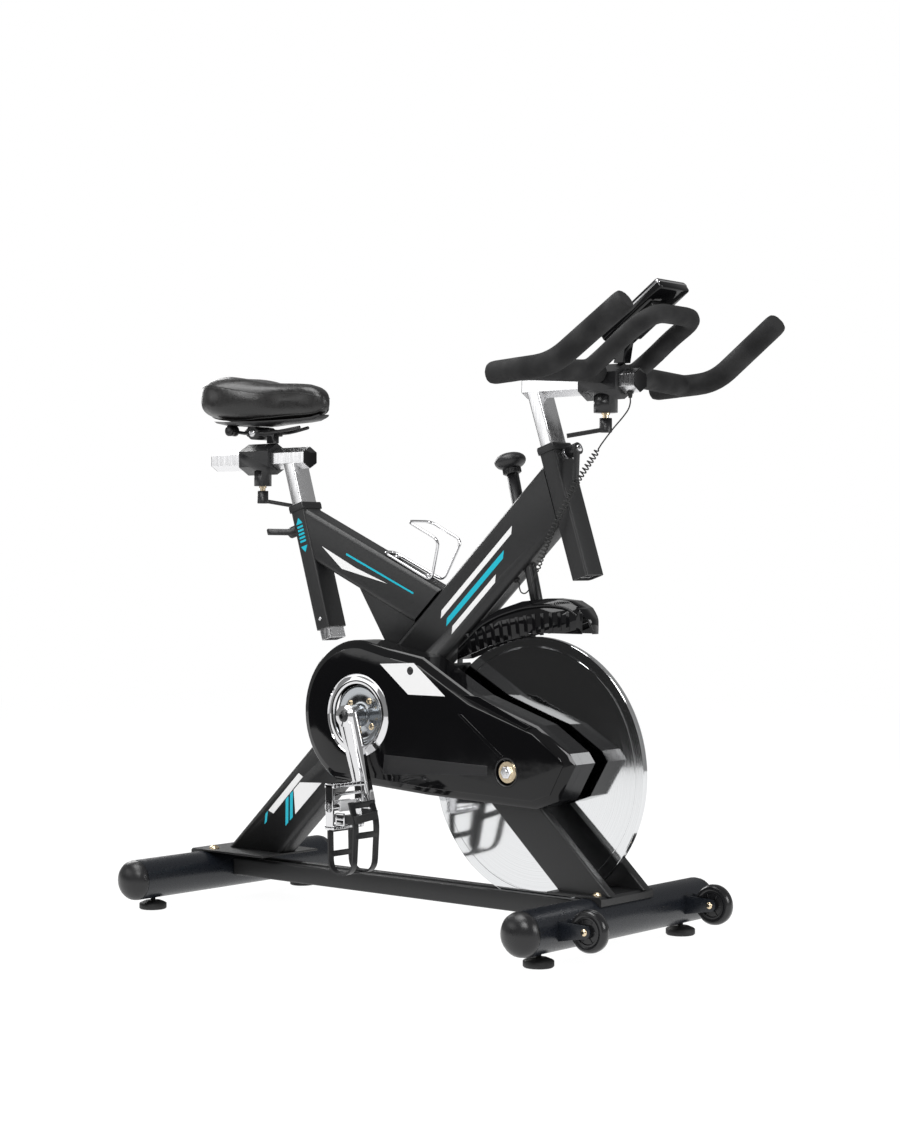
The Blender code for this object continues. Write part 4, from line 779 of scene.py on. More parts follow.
SLEEVE_DEPTH, SLEEVE_WIDTH = 0.0366, 0.0546
collar("seat_collar", SEAT_FOOT + SEAT_UP * 0.257, SEAT_UP, SEAT_FRONT, SLEEVE_DEPTH, SLEEVE_WIDTH, "frame")
collar("head_collar", HEAD_FOOT + HEAD_UP * 0.252, HEAD_UP, HEAD_FRONT, SLEEVE_DEPTH, SLEEVE_WIDTH, "frame")

# %% Hexagonal caps
CAP_R, CAP_THICK, CAP_RIM, CAP_DISH = 0.0219, 0.0045, 0.0040, 0.0012


def hex_cap(name, spot, end, body):
    """A six-sided plug in the end of a rail, with a dished face."""
    bm = bmesh.new()
    turn = Matrix.Rotation(pi / 6, 4, "Z")
    bmesh.ops.create_circle(bm, cap_ends=True, segments=6, radius=CAP_R, matrix=turn)
    grown = bmesh.ops.extrude_face_region(bm, geom=bm.faces[:])["geom"]
    top = [item for item in grown if isinstance(item, bmesh.types.BMVert)]
    bmesh.ops.translate(bm, vec=(0, 0, CAP_THICK), verts=top)
    lid = [item for item in grown if isinstance(item, bmesh.types.BMFace)]
    bmesh.ops.inset_region(bm, faces=lid, thickness=CAP_RIM, depth=0.0)
    bmesh.ops.translate(bm, vec=(0, 0, -CAP_DISH), verts=lid[0].verts)
    bmesh.ops.transform(bm, matrix=place(AHEAD * end, spot - AHEAD * end * 0.003), verts=bm.verts)
    return keep(name, bm, GLOSS_BLACK, body, (), 30, 0.0007)


for body, back, front in (("seat_post", at(-1.025, 0.912), at(-0.757, 0.912)),
                          ("handlebar_post", at(-0.193, 1.025), at(0.061, 1.025))):
    hex_cap(f"{body}_cap_rear", back, -1, body)
    hex_cap(f"{body}_cap_front", front, 1, body)
print("caps fitted")

# %% [markdown]
# ## Fasteners
#
# Dome-headed bolts hold the plates, and four cross-headed screws hold the chainring dish. A bolt's head is
# a turned dome with a socket in it, and a screw's is a flatter dome with two crossed slots.

# %% Bolts
def bolt(name, spot, direction, radius, material, body):
    """A domed head with a socket."""
    dome = [(radius, 0)] + [(radius * cos(t), radius * 0.62 * sin(t)) for t in (0.35, 0.7, 1.05)]
    socket, floor = radius * 0.42, radius * 0.25
    profile = [(0, -0.002), (radius, -0.002)] + dome + [(socket, radius * 0.60), (socket, floor), (0, floor)]
    return keep(name, turned(profile, direction, spot, 28), material, body, (), 40)


PLATE_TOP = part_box("front_mount_plate")[1].z
PLATE_BOLT_X, PLATE_BOLT_Y = 0.012, 0.058
WHEEL_OUT, WHEEL_UP, WHEEL_SIDE = 0.092, 0.068, 0.192
for hand, side in SIDES:
    for where, x in (("front", PLATE_BOLT_X), ("rear", PLATE_BOLT_X - BASE_LENGTH)):
        bolt(f"{where}_plate_bolt_{hand}", at(x, PLATE_TOP, side * PLATE_BOLT_Y), UP, 0.0110, BRASS, "frame")
    spot = at(WHEEL_OUT, WHEEL_UP, side * WHEEL_SIDE - 0.0165)
    bolt(f"wheel_bolt_{hand}", spot, -SIDE, 0.0066, BRASS, "frame")
    spot = SEAT_FOOT + SIDE * side * 0.0275 + SEAT_UP * 0.02
    bolt(f"sleeve_bolt_{hand}", spot, SIDE * side, 0.004, STEEL, "frame")

# %% [markdown]
# The dish between the crank arm and the chainring is one turned piece, from the arm's face to the far
# bearing. A dark bolt closes the end of the axle on each side.

# %% Crank dish
DISH_FACE, SCREW_CIRCLE = -0.0831, 0.035
dish = [(0, -0.0920), (0.0085, -0.0920), (0.0085, -0.0890), (0.0200, -0.0890), (0.0225, -0.0842),
        (0.0260, -0.0832), (0.0440, -0.0832), (0.0475, -0.0840), (0.0510, -0.0868), (0.0535, -0.0872),
        (0.0570, -0.0870), (0.0578, -0.0850), (0.0570, -0.0790), (0.0520, -0.0740), (0.0320, -0.0740),
        (0.0200, -0.0530), (0.0200, -0.0410), (0.0085, -0.0410), (0.0085, 0.0690), (0, 0.0690)]
keep("crank_dish", turned(dish, SIDE, CRANK, 72), DISH_CHROME, "crank", ("crank_spider",), 40)
head = [(0, 0.0005), (0.0068, 0.0005), (0.0068, -0.0006), (0.0058, -0.0016), (0.0030, -0.0022), (0, -0.0023)]
for k in range(4):
    turn = radians(52 + 90 * k)
    spot = CRANK + Vector((SCREW_CIRCLE * cos(turn), DISH_FACE, SCREW_CIRCLE * sin(turn)))
    keep(f"dish_screw_{k}", turned(head, SIDE, spot, 28), BRASS, "crank", (), 50)
    slots = Matrix.Translation(spot - SIDE * 0.0021)
    cross = [brick((0.0070, 0.0006, 0.0012), slots @ Matrix.Rotation(turn + angle, 4, "Y"), 0.0002)
             for angle in (0, pi / 2)]
    keep(f"dish_screw_slot_{k}", joined(*cross), SATIN_BLACK, "crank", (), 30)
for hand, side in SIDES:
    bolt(f"crank_bolt_{hand}", CRANK + SIDE * side * 0.1318, SIDE * side, 0.0115, SATIN_BLACK, "crank")
print("bolts placed")

# %% [markdown]
# ## Levers
#
# Each clamp lever already has its hub and arm. The two that clamp a rail turn on a screw that shows bright
# below the boss. The two that clamp a post have a turned neck against the sleeve, and a bolt through the
# hub.

# %% Lever screws
thread = [(0, -0.0105), (0.0056, -0.0105), (0.0056, -0.004), (0.0078, -0.0038), (0.0078, -0.0004),
          (0, -0.0004)]
for name, spot in (("seat_slide_lever", at(-0.892, 0.857)), ("handlebar_slide_lever", at(-0.015, 0.970))):
    keep(f"{name}_screw", turned(thread, UP, spot, 28), BRASS, name, (), 40)
neck = [(0, 0.0006), (0.0095, 0.0006), (0.0095, 0.0035), (0.0062, 0.0045), (0.0062, 0.0096), (0, 0.0096)]
SLEEVE_FACE, HUB_DEPTH = 0.0183, 0.036
for name, face, out in (
        ("seat_height_lever", SEAT_FOOT + SEAT_UP * 0.217 - SEAT_FRONT * SLEEVE_FACE, -SEAT_FRONT),
        ("handlebar_height_lever", HEAD_FOOT + HEAD_UP * 0.232 + HEAD_FRONT * SLEEVE_FACE, HEAD_FRONT)):
    keep(f"{name}_neck", turned(neck, out, face, 28), STEEL, name, (), 40)
    bolt(f"{name}_bolt", face + out * HUB_DEPTH, out, 0.0070, CHROME, name)
print("levers done")

# %% [markdown]
# ## Saddle
#
# The saddle is foam under a stitched cover. It starts as rings lofted from the broad rear to the nose, is
# remeshed evenly, and is blown up a little as cloth, which rounds it and leaves it slightly uneven as real
# upholstery is. A station gives a share of the length, a share of the width, and the heights of the top and
# the bottom there.

# %% Saddle cushion
saddle_low, saddle_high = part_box("saddle_cushion")
LENGTH = saddle_high.x - saddle_low.x
HALF = (saddle_high.y - saddle_low.y) / 2
STATIONS = ((0.00, 0.30, 1.050, 1.018), (0.03, 0.62, 1.068, 1.003), (0.09, 0.86, 1.080, 0.995),
            (0.18, 0.98, 1.084, 0.990), (0.28, 1.00, 1.081, 0.988), (0.38, 0.88, 1.075, 0.988),
            (0.48, 0.66, 1.069, 0.988), (0.58, 0.47, 1.066, 0.989), (0.70, 0.37, 1.065, 0.990),
            (0.82, 0.32, 1.063, 0.991), (0.91, 0.27, 1.058, 0.993), (0.97, 0.19, 1.048, 0.998),
            (1.00, 0.10, 1.036, 1.008))
RING = 28
SQUARE = 0.62
CREASE_DEPTH, CREASE_HALF = 0.004, 0.030


def saddle_form(shrink):
    """Lofted rings, drawn in by a distance on every side, with a shallow crease along the top."""
    rings = []
    for share, wide, top, bottom in STATIONS:
        x = saddle_low.x + shrink + (LENGTH - 2 * shrink) * share
        half = wide * HALF - shrink
        middle, rise = (top + bottom) / 2, (top - bottom) / 2 - shrink
        depth = CREASE_DEPTH * (1 if 0.1 < share < 0.85 else 0.3)
        ring = []
        for k in range(RING):
            turn = 2 * pi * k / RING
            across, high = cos(turn), sin(turn)
            y = half * abs(across) ** SQUARE * (1 if across > 0 else -1)
            z = middle + rise * abs(high) ** SQUARE * (1 if high > 0 else -1)
            if high > 0.2:
                z -= depth * max(0.0, 1 - abs(y) / CREASE_HALF)
            ring.append((x, y, z))
        rings.append(ring)
    return lofted(rings)


def inflate(obj, cap, frames=16):
    """Blows a closed mesh up as cloth, and holds every point within a distance of where it was."""
    start = [vert.co.copy() for vert in obj.data.vertices]
    cloth = obj.modifiers.new("fill", "CLOTH").settings
    cloth.use_pressure = True
    cloth.uniform_pressure_force = 4.0
    cloth.effector_weights.gravity = 0.0
    cloth.quality = 5
    scene = bpy.context.scene
    for number in range(1, frames + 1):
        scene.frame_set(number)
    applied(obj)
    scene.frame_set(1)
    for vert, was in zip(obj.data.vertices, start):
        moved = vert.co - was
        if moved.length > cap:
            vert.co = was + moved.normalized() * cap


def fitted(obj, low, high):
    """Stretches a mesh evenly to fill a box."""
    verts = obj.data.vertices
    for axis in range(3):
        least, most = min(vert.co[axis] for vert in verts), max(vert.co[axis] for vert in verts)
        for vert in verts:
            share = (vert.co[axis] - least) / (most - least)
            vert.co[axis] = low[axis] + share * (high[axis] - low[axis])


SWELL = 0.003
CLEAR = Vector((0.0006, 0.0006, 0.0006))
form = saddle_form(SWELL)
bmesh.ops.recalc_face_normals(form, faces=form.faces)
cushion = linked("saddle_cover", form)
round_off = cushion.modifiers.new("round", "SUBSURF")
round_off.levels = round_off.render_levels = 2
even = cushion.modifiers.new("even", "REMESH")
even.mode = "VOXEL"
even.voxel_size = 0.0048
applied(cushion)
inflate(cushion, SWELL)
fitted(cushion, saddle_low + CLEAR, saddle_high - CLEAR)
finer = cushion.modifiers.new("finer", "SUBSURF")
finer.levels = finer.render_levels = 1
cushion.data.shade_smooth()
cushion.data.materials.clear()
cushion.data.materials.append(LEATHER)
settle(cushion, "saddle", ("saddle_cushion",))
print("saddle points:", len(cushion.data.vertices))

# %% [markdown]
# Two panels of the cover meet in a seam that runs round the flank, and a piped edge runs low above the
# base. Both are thin rolls that follow the same stations as the cushion. Under the rear are two rubber
# bumpers, and the clamp's nuts.

# %% Saddle seams
def flank(level):
    """A closed run round the saddle, at a share of its half height."""
    bulge = (1 - abs(level) ** (1 / SQUARE)) ** SQUARE
    half_run = []
    for share, wide, top, bottom in STATIONS:
        x = saddle_low.x + LENGTH * (0.012 + 0.976 * share)
        middle, rise = (top + bottom) / 2, (top - bottom) / 2
        half_run.append(Vector((x, wide * HALF * bulge, middle + rise * level)))
    mirrored = [Vector((p.x, -p.y, p.z)) for p in reversed(half_run)]
    return rounded(half_run + mirrored, 0.03, 5)


def on_surface(points, lift):
    """Drops points on to the cushion's surface, so that a seam lies exactly on it."""
    bpy.context.view_layer.update()
    evaluated = cushion.evaluated_get(bpy.context.evaluated_depsgraph_get())
    landed = []
    for point in points:
        _, spot, normal, _ = evaluated.closest_point_on_mesh(point)
        landed.append(spot + normal * lift)
    return landed


rod("saddle_piping", on_surface(flank(-0.72), 0.0004), 0.0016, LEATHER, "saddle", closed=True)
rod("saddle_seam", on_surface(flank(0.40), 0.0), 0.0007, RUBBER, "saddle", closed=True)
bumper = [(0, -0.012), (0.009, -0.012), (0.011, -0.010), (0.011, -0.004), (0.0095, 0.0), (0.011, 0.004),
          (0.011, 0.010), (0.009, 0.012), (0, 0.012)]
for hand, side in SIDES:
    rubber = turned(bumper, SIDE, at(-0.952, 0.972, side * 0.030), 28)
    keep(f"saddle_bumper_{hand}", rubber, SATIN_BLACK, "saddle", (), 50)
    bolt(f"saddle_clamp_nut_{hand}", at(-0.894, 0.9655, side * 0.028), SIDE * side, 0.0085, STEEL, "saddle")
print("seams sewn")

# %% [markdown]
# ## Handlebar
#
# Foam covers the whole bent tube. The solid's copy is remeshed fine and smoothed, which melts the joints
# between the bars together as moulded foam does.

# %% Handlebar foam
grips = polish("handlebar", FOAM)
melt = grips.modifiers.new("melt", "REMESH")
melt.mode = "VOXEL"
melt.voxel_size = 0.0026
melt.use_smooth_shade = True
relax = grips.modifiers.new("settle", "SMOOTH")
relax.factor = 0.5
relax.iterations = 14
print("grips remeshed")

# %% [markdown]
# ## Console
#
# The console is a slim box with a bright rim, a dark window in front, three buttons and a moulded back.

# %% Console
CONSOLE = at(0.070, 1.146)
TILT = radians(35)
CONSOLE_RUN, CONSOLE_OVER = Vector((cos(TILT), 0, sin(TILT))), Vector((-sin(TILT), 0, cos(TILT)))
polish("console", GLOSS_BLACK)
slab = Matrix.Translation(CONSOLE) @ Matrix((CONSOLE_RUN, SIDE, CONSOLE_OVER)).transposed().to_4x4()
for name, size, centre, edge, material, slot in (
        ("rim", (0.1556, 0.0906, 0.0100), (0, 0, 0.0035), 0.0045, CHROME, "chrome"),
        ("window", (0.140, 0.076, 0.004), (0, 0, 0.0100), 0.0015, GLOSS_BLACK, "gloss_cover"),
        ("back", (0.090, 0.062, 0.016), (-0.006, 0, -0.0130), 0.004, SATIN_BLACK, "matte_plastic")):
    block = brick(size, slab @ Matrix.Translation(centre), edge)
    keep(f"console_{name}", block, material, "handlebar", (), 40)
button = [(0, 0.0005), (0.0055, 0.0005), (0.0065, -0.0005), (0.0065, -0.002), (0, -0.002)]
BUTTON_GAP = 0.022
for k in range(3):
    spot = CONSOLE + CONSOLE_RUN * -0.055 + CONSOLE_OVER * 0.0120 + SIDE * BUTTON_GAP * (k - 1)
    keep(f"console_button_{k}", turned(button, CONSOLE_OVER, spot, 28), SATIN_BLACK, "handlebar",
         (), 40)
print("console done")

# %% [markdown]
# ## Brake knob
#
# The knob is a mushroom with a ribbed neck for turning. The neck's ribs are small bars set round it.

# %% Brake knob
KNOB_BASE = at(-0.157, 0.561) + BRAKE_UP * 0.3121
mushroom = [(0, 0.0003), (0.0150, 0.0003), (0.0162, 0.0015), (0.0162, 0.0105), (0.0185, 0.0118),
            (0.0215, 0.0133), (0.0245, 0.0152), (0.0270, 0.0178), (0.0288, 0.0208), (0.0298, 0.0240),
            (0.0299, 0.0262), (0.0292, 0.0290), (0.0278, 0.0316), (0.0256, 0.0340), (0.0226, 0.0362),
            (0.0190, 0.0380), (0.0145, 0.0395), (0.0095, 0.0404), (0.0045, 0.0409), (0, 0.0410)]
keep("brake_knob_cap", turned(mushroom, BRAKE_UP, KNOB_BASE, 64), SATIN_BLACK, "brake_knob",
     ("brake_knob",), 50)
NECK_RIBS, NECK_R = 18, 0.0168
ribs = []
for k in range(NECK_RIBS):
    turn = 2 * pi * k / NECK_RIBS
    spot = Matrix.Translation((NECK_R * cos(turn), NECK_R * sin(turn), 0.0062))
    ribs.append(brick((0.0016, 0.0024, 0.0088),
                      place(BRAKE_UP, KNOB_BASE) @ spot @ Matrix.Rotation(turn, 4, "Z"), 0.0005))
keep("brake_knob_ribs", joined(*ribs), SATIN_BLACK, "brake_knob")

# %% [markdown]
# ## Pedals
#
# A cast cage carries the shoe, with rows of teeth along its edges and a reflector front and rear. The toe
# cage is a nylon hook with a webbing strap through it.

# %% Pedals
TEETH, TOOTH_STEP = 7, 0.011
WEB_HEIGHT = 0.022


def pedal(hand, side):
    """Chromed plates, a barrel round the spindle and teeth on one platform, and its two reflectors."""
    low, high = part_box(f"pedal_{hand}")
    body = f"pedal_{hand}"
    hub_end, outer = (high.y, low.y) if side < 0 else (low.y, high.y)
    inner = hub_end + side * 0.011
    centre = Vector(((low.x + high.x) / 2, (inner + outer) / 2, (low.z + high.z) / 2))
    width, deep, tall = abs(outer - inner), high.x - low.x, high.z - low.z
    barrel = [(0, -width / 2), (0.0105, -width / 2), (0.0085, -0.02), (0.0075, 0.0), (0.0085, 0.02),
              (0.0105, width / 2), (0, width / 2)]
    solids = [turned(barrel, SIDE, centre, 32)]
    for end in (-1, 1):
        edge = centre + UP * end * (tall / 2 - 0.004)
        solids.append(brick((deep, width, 0.008), Matrix.Translation(edge), 0.0018))
        cheek = centre + SIDE * end * (width / 2 - 0.003)
        solids.append(brick((deep * 0.8, 0.006, tall - 0.004), Matrix.Translation(cheek), 0.0016))
        web = centre + UP * end * WEB_HEIGHT
        solids.append(brick((deep * 0.55, width - 0.008, 0.005), Matrix.Translation(web), 0.001))
        for k in range(TEETH):
            row = edge + SIDE * TOOTH_STEP * (k - TEETH // 2)
            for face in (-1, 1):
                tooth = Matrix.Translation(row + AHEAD * face * (deep / 2 - 0.0008))
                solids.append(brick((0.0030, 0.0055, 0.0052), tooth, 0.0006))
    spindle = [(0, -0.0056), (0.0085, -0.0056), (0.0085, 0.004), (0.007, 0.0056), (0, 0.0056)]
    solids.append(turned(spindle, SIDE, Vector((centre.x, (inner + hub_end) / 2, centre.z)), 28))
    keep(f"pedal_{hand}_cage", joined(*solids), CHROME, body, (f"pedal_{hand}",), 35)
    for label, end in (("rear", -1), ("front", 1)):
        lens = Matrix.Translation(centre + AHEAD * end * (deep / 2 - 0.005))
        keep(f"pedal_{hand}_reflector_{label}", brick((0.006, 0.044, 0.020), lens, 0.0015), REFLECTOR, body,
             (), 35)
    return centre


STRAP_HALF, STRAP_THICK = 0.0075, 0.0018
CORNERS = ((-1, -1), (1, -1), (1, 1), (-1, 1))


def strap(hand, side, centre):
    """Webbing that runs round the pedal and through the cage's tip, with a buckle at its outer end."""
    body = f"pedal_{hand}"
    near, far = centre.y - side * 0.040, centre.y + side * 0.041
    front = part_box(f"toe_cage_{hand}")[1].x + 0.0006
    z = centre.z - 0.016
    corners = [Vector((centre.x + 0.010, near, z)), Vector((front, near + side * 0.006, z)),
               Vector((front, far - side * 0.008, z - 0.006)), Vector((centre.x + 0.012, far, z - 0.004))]
    run = rounded(corners, 0.012, 6)
    rings = []
    for k, point in enumerate(run):
        out = heading(run, k).cross(UP).normalized() * STRAP_THICK / 2
        rings.append([point + UP * STRAP_HALF * a + out * b for a, b in CORNERS])
    keep(f"pedal_{hand}_strap", lofted(rings), WEBBING, body, (), 30)
    buckle = Matrix.Translation((centre.x + 0.028, far + side * 0.001, z - 0.005))
    bars = [brick((0.022, 0.0022, 0.004), buckle @ Matrix.Translation((0, 0, high)), 0.0008)
            for high in (-0.010, 0.0, 0.010)]
    bars += [brick((0.003, 0.0024, 0.024), buckle @ Matrix.Translation((x, 0, 0)), 0.0008)
             for x in (-0.010, 0.010)]
    keep(f"pedal_{hand}_buckle", joined(*bars), CHROME, body, (), 35)


CAGE_LINE = ((-0.010, -0.0453), (-0.008, -0.1250), (0.050, -0.1250), (0.056, -0.029), (0.042, 0.010))
CAGE_TIES = ((-0.0085, -0.0900, 0.0038, 0.011), (0.0150, -0.1262, 0.016, 0.0036),
             (0.0548, -0.0520, 0.0036, 0.012), (0.0440, 0.0040, 0.0036, 0.012),
             (-0.0060, -0.0460, 0.014, 0.0036))


def ribbon(points, width, thick):
    """A flat band of nylon that bends along points in the upright plane."""
    rings = []
    for k, point in enumerate(points):
        out = heading(points, k).cross(SIDE).normalized() * thick / 2
        rings.append([point + SIDE * a * width / 2 + out * b for a, b in CORNERS])
    return lofted(rings)


def toe_cage(hand, centre):
    """Two hooked bands side by side, tied by bars."""
    line = rounded([centre + Vector((u, 0, w)) for u, w in CAGE_LINE], 0.026, 8)
    bands = [ribbon([point + SIDE * y for point in line], 0.013, 0.0038) for y in (-0.0285, 0.0285)]
    for u, w, wide, tall in CAGE_TIES:
        bands.append(brick((wide, 0.060, tall), Matrix.Translation(centre + Vector((u, 0, w))), 0.001))
    keep(f"toe_cage_{hand}_bands", joined(*bands), SATIN_BLACK, f"pedal_{hand}",
         (f"toe_cage_{hand}",), 35)


for hand, side in SIDES:
    middle = pedal(hand, side)
    toe_cage(hand, middle)
    strap(hand, side, middle)
print("pedals detailed")

# %% [markdown]
# ## Stabilizers
#
# Each stabilizer is a length of round tube. The front one also has ears for the transport wheels, cut from
# thick plate and welded on, with a pin between each pair.

# %% Stabilizers
TUBE_R, TUBE_HALF, TUBE_UP, WALL = 0.040, 0.262, 0.062, 0.002
EAR_THICK, EAR_TIP, EAR_APART = 0.004, 0.012, 0.0145


def wheel_ears(side):
    """A pair of ears with the pin between them."""
    solids = []
    for end in (-1, 1):
        y = side * WHEEL_SIDE + end * EAR_APART - EAR_THICK / 2
        tip = circle(at(WHEEL_OUT, WHEEL_UP), EAR_TIP, 80, -100, 14, y)
        ear = plate(tip + [at(0.034, 0.046, y), at(0.034, 0.0815, y)], SIDE * EAR_THICK)
        soften(ear, ear.edges[:], 0.0006, 2)
        solids.append(ear)
    pin = [(0, -0.0185), (0.0040, -0.0185), (0.0040, 0.0185), (0, 0.0185)]
    return solids + [turned(pin, SIDE, at(WHEEL_OUT, WHEEL_UP, side * WHEEL_SIDE), 24)]


for where, x, extra in (("front", 0.0, wheel_ears(-1) + wheel_ears(1)), ("rear", -BASE_LENGTH, [])):
    wall = [(TUBE_R - WALL, -TUBE_HALF), (TUBE_R, -TUBE_HALF), (TUBE_R, TUBE_HALF),
            (TUBE_R - WALL, TUBE_HALF)]
    tube = turned(wall, SIDE, at(x, TUBE_UP), 72)
    keep(f"{where}_stabilizer_tube", joined(tube, *extra), TUBE_PAINT, "frame",
         (f"{where}_stabilizer",), 30)
print("stabilizers welded")

# %% [markdown]
# ## Transport wheels
#
# Tilt the bike and it rolls on these. Each has a tyre with a crowned tread, and a recessed hub with six
# spokes.

# %% Transport wheels
TREAD_HALF, SPOKES = 0.011, 6
tyre = [(0.0255, 0.009), (0.029, TREAD_HALF), (0.0335, 0.0104), (0.0365, 0.007), (0.0375, 0.0)]
hub_half = [(0.0044, TREAD_HALF), (0.010, TREAD_HALF), (0.011, 0.008), (0.021, 0.0075), (0.0225, 0.010),
            (0.0258, 0.010)]
tyre = [(radius, -y) for radius, y in tyre] + tyre[-2::-1]
wheel_hub = [(radius, -y) for radius, y in hub_half] + hub_half[::-1]
for hand, side in SIDES:
    wheel = f"transport_wheel_{hand}"
    centre = middle_of(wheel)
    keep(f"transport_tyre_{hand}", turned(tyre, SIDE, centre, 64), WHEEL_BLACK, wheel, (), 40)
    solids = [turned(wheel_hub, SIDE, centre, 48)]
    for k in range(SPOKES):
        turn = Matrix.Rotation(2 * pi * k / SPOKES, 4, "Y") @ Matrix.Translation((0.016, 0, 0))
        spoke = Matrix.Translation(centre) @ turn
        solids.append(brick((0.012, 2 * TREAD_HALF - 0.004, 0.0022), spoke, 0.0006))
    keep(f"transport_hub_{hand}", joined(*solids), WHEEL_BLACK, wheel, (wheel,), 40)
print("wheels detailed")

# %% [markdown]
# ## Coiled cord
#
# The console reads the flywheel through a thin cord. Its middle is a coil, as on an old telephone, so that
# it can stretch when the handlebar goes up. It is limp, 2.6 mm thick, and goes into the main beam through a
# grommet. Its route is a smooth curve through a few points, and the coil winds about the middle part of
# that curve.

# %% Cord route
CORD_R = 0.0013
COIL_R = 0.0049
PITCH = 0.0078
STEPS_A_TURN = 16


def smooth_run(points, steps):
    """A smooth curve through points."""
    ends = [points[0] * 2 - points[1]] + points + [points[-1] * 2 - points[-2]]
    run = []
    for a, b, c, d in zip(ends, ends[1:], ends[2:], ends[3:]):
        for k in range(steps):
            t = k / steps
            run.append(0.5 * (2 * b + (c - a) * t + (2 * a - 5 * b + 4 * c - d) * t ** 2
                              + (3 * b - a - 3 * c + d) * t ** 3))
    return run + [points[-1]]


upper = [at(0.0395, 0.9938), at(0.0395, 0.9850), at(0.0370, 0.9730, -0.003), at(0.0280, 0.9580, -0.009),
         at(0.0150, 0.9410, -0.016), at(0.0010, 0.9220, -0.022), at(-0.0080, 0.9080, -0.027)]
coil = [at(-0.0100, 0.9040, -0.028), at(-0.0260, 0.8800, -0.033), at(-0.0480, 0.8480, -0.039),
        at(-0.0710, 0.8110, -0.042), at(-0.0960, 0.7700, -0.043), at(-0.1220, 0.7240, -0.042),
        at(-0.1460, 0.6800, -0.038)]
grommet = middle_of("cord_grommet")
lower = [at(-0.1480, 0.6760, -0.037), at(-0.1550, 0.6640, -0.035), at(-0.1660, 0.6500, -0.031),
         at(-0.1800, 0.6420, -0.026), at(-0.1950, 0.6440, -0.019), at(-0.2040, 0.6530, -0.013)]
lower += [grommet - BEAM_OVER * 0.0085, grommet - BEAM_OVER * 0.0030, grommet + BEAM_OVER * 0.0010]

spine = smooth_run(coil, 40)
lengths = [0.0]
for before, after in zip(spine, spine[1:]):
    lengths.append(lengths[-1] + (after - before).length)
turns = round(lengths[-1] / PITCH)
winding = []
for k in range(turns * STEPS_A_TURN + 1):
    share = k / (turns * STEPS_A_TURN)
    goal = share * lengths[-1]
    index = min(bisect_right(lengths, goal + 1e-9) - 1, len(spine) - 2)
    part = (goal - lengths[index]) / (lengths[index + 1] - lengths[index])
    centre = spine[index].lerp(spine[index + 1], part)
    run = (spine[index + 1] - spine[index]).normalized()
    first = SIDE.cross(run).normalized()
    second = run.cross(first)
    opened = min(1.0, share * turns, (1 - share) * turns)
    radius = COIL_R * opened * opened * (3 - 2 * opened)
    turn = 2 * pi * turns * share
    winding.append(centre + (first * cos(turn) + second * sin(turn)) * radius)
route = smooth_run(upper, 4)[:-1] + winding + smooth_run(lower, 4)[1:]

# %% [markdown]
# The cord is one tube swept along its whole route. Each ring of the sweep keeps its neighbour's direction,
# so that the tube doesn't twist.

# %% Cord
def sweep(points, radius, sides=8):
    """A round tube along points."""
    rings, normal = [], None
    around = [2 * pi * step / sides for step in range(sides)]
    for k, point in enumerate(points):
        run = heading(points, k)
        normal = normal or run.orthogonal().normalized()
        normal = (normal - run * normal.dot(run)).normalized()
        other = run.cross(normal)
        rings.append([point + (normal * cos(t) + other * sin(t)) * radius for t in around])
    return lofted(rings)


swept = sweep(route, CORD_R)
bmesh.ops.recalc_face_normals(swept, faces=swept.faces)
cord = linked("console_cord", swept, RUBBER)
cord.data.shade_smooth()
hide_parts("console_cord_upper", "console_cord_coil", "console_cord_lower")
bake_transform(cord)

# %% [markdown]
# ## Bottle cage feet
#
# Two small straps and screws hold the wire to the seat beam.

# %% Bottle cage clips
BEAM_TOP = 0.0478
for k, along in enumerate((0.125, 0.215)):
    spot = SEAT_START + SEAT_RUN * along + SEAT_OVER * BEAM_TOP
    turn = Matrix.Translation(spot) @ Matrix((SEAT_RUN, SIDE, SEAT_OVER)).transposed().to_4x4()
    clip = brick((0.010, 0.040, 0.0016), turn, 0.0006)
    keep(f"bottle_clip_{k}", clip, CHROME, "frame", (), 35)
    bolt(f"bottle_clip_screw_{k}", spot + SEAT_OVER * 0.0006, SEAT_OVER, 0.0042, STEEL, "frame")
print("clips fitted")

# %% [markdown]
# ## Studio
#
# A glowing white floor and large soft lights. The surround is white to the camera and dimmer to everything
# else, so that dark finishes stay dark. Bright metal needs something dark to reflect as well, so a black
# card stands on the drive side, where only reflections see it.

# %% Studio
FLOOR, _, _, glow = shader_of("studio_floor", (0.12, 0.12, 0.12), 0.8)
glow.inputs["Emission Color"].default_value = (1.0, 1.0, 1.0, 1.0)
glow.inputs["Emission Strength"].default_value = 0.96
glow.inputs["Specular IOR Level"].default_value = 0.0
CARD = shader_of("black_card", (0.003, 0.003, 0.003), 0.9)[0]
bm = bmesh.new()
bmesh.ops.create_grid(bm, x_segments=1, y_segments=1, size=6.0)
floor = linked("studio_floor", bm, FLOOR)


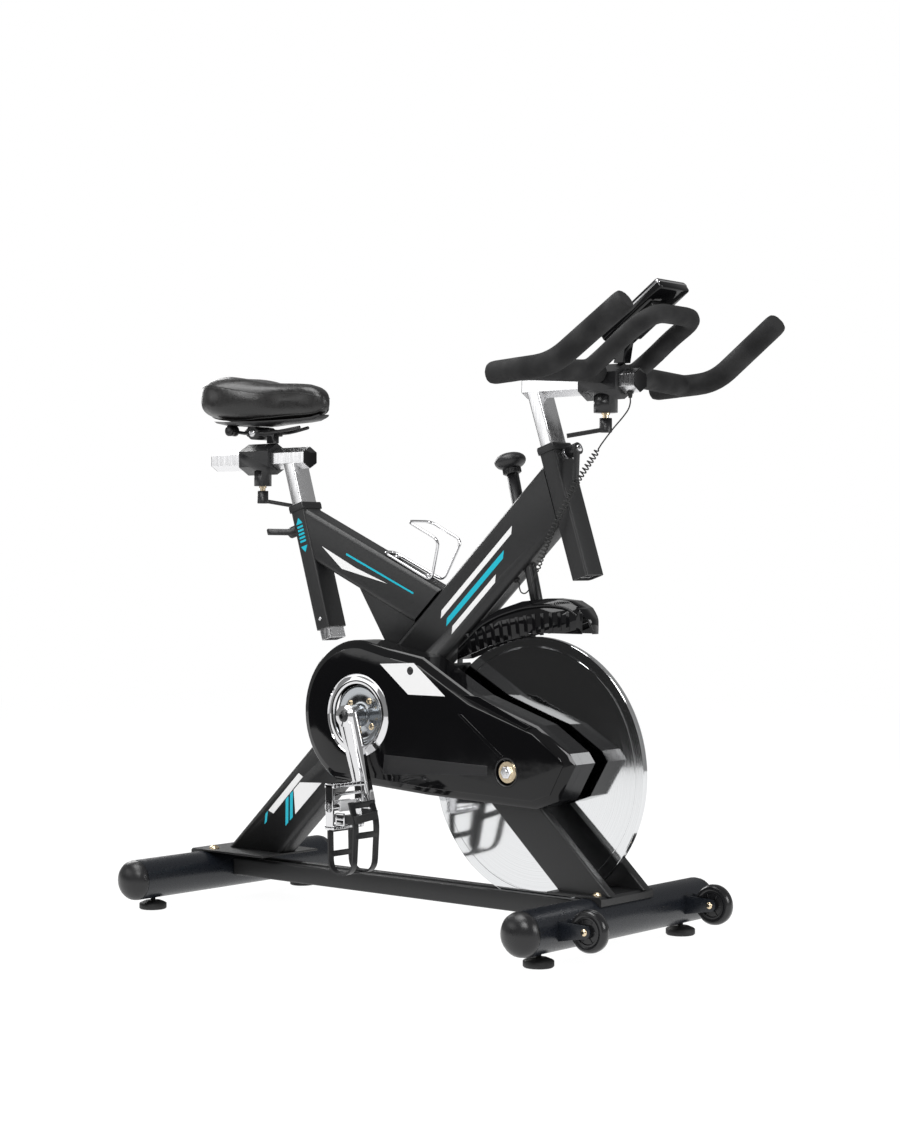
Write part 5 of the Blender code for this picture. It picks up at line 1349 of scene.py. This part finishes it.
def card(name, centre, facing, width, height):
    """An upright black card that only reflections see."""
    bm = bmesh.new()
    shape = Matrix.Diagonal((width, height, 1, 1))
    bmesh.ops.create_grid(bm, x_segments=1, y_segments=1, size=0.5, matrix=shape)
    made = linked(name, bm, CARD)
    made.matrix_world = Matrix.Translation(centre) @ facing.to_track_quat("Z", "Y").to_matrix().to_4x4()
    made.visible_camera = False
    made.visible_diffuse = False
    made.visible_shadow = False


card("card_drive_side", Vector((-1.90, -2.52, 0.43)), Vector((0.647, 0.763, 0)), 3.2, 0.84)


def soft_light(name, spot, target, size, power, height=None):
    """An area light that looks at a point."""
    data = bpy.data.lights.new(name, "AREA")
    data.shape = "RECTANGLE"
    data.size = size
    data.size_y = height or size
    data.energy = power
    made = bpy.data.objects.new(name, data)
    made.location = spot
    made.rotation_euler = (Vector(target) - Vector(spot)).to_track_quat("-Z", "Y").to_euler()
    bpy.context.scene.collection.objects.link(made)


soft_light("key", (1.6, -3.0, 3.2), (0, 0, 0.6), 1.6, 70)
soft_light("top", (-0.5, -0.9, 3.4), (0.1, 0, 0.4), 2.0, 75)
soft_light("front", (3.6, 0.6, 1.6), (0.2, 0, 0.6), 1.4, 45)
soft_light("rear", (-3.2, 1.2, 2.0), (-0.3, 0, 0.7), 1.6, 45)
soft_light("strip", (-1.95, -2.60, 1.46), (0.1, 0, 0.85), 2.4, 11, 1.0)
world = bpy.data.worlds.new("studio")
world.use_nodes = True
surround = world.node_tree.nodes["Background"]
surround.inputs["Color"].default_value = (1.0, 1.0, 1.0, 1.0)
rays = world.node_tree.nodes.new("ShaderNodeLightPath")
level = world.node_tree.nodes.new("ShaderNodeMapRange")
level.inputs["To Min"].default_value = 0.28
level.inputs["To Max"].default_value = 1.0
world.node_tree.links.new(rays.outputs["Is Camera Ray"], level.inputs["Value"])
world.node_tree.links.new(level.outputs["Result"], surround.inputs["Strength"])
bpy.context.scene.world = world
bpy.context.scene.view_settings.view_transform = "Standard"
print("lights:", len(bpy.data.lights))

# %% [markdown]
# ## Finish
#
# The last cell brings the scene up to date.

# %% Update
bpy.context.view_layer.update()
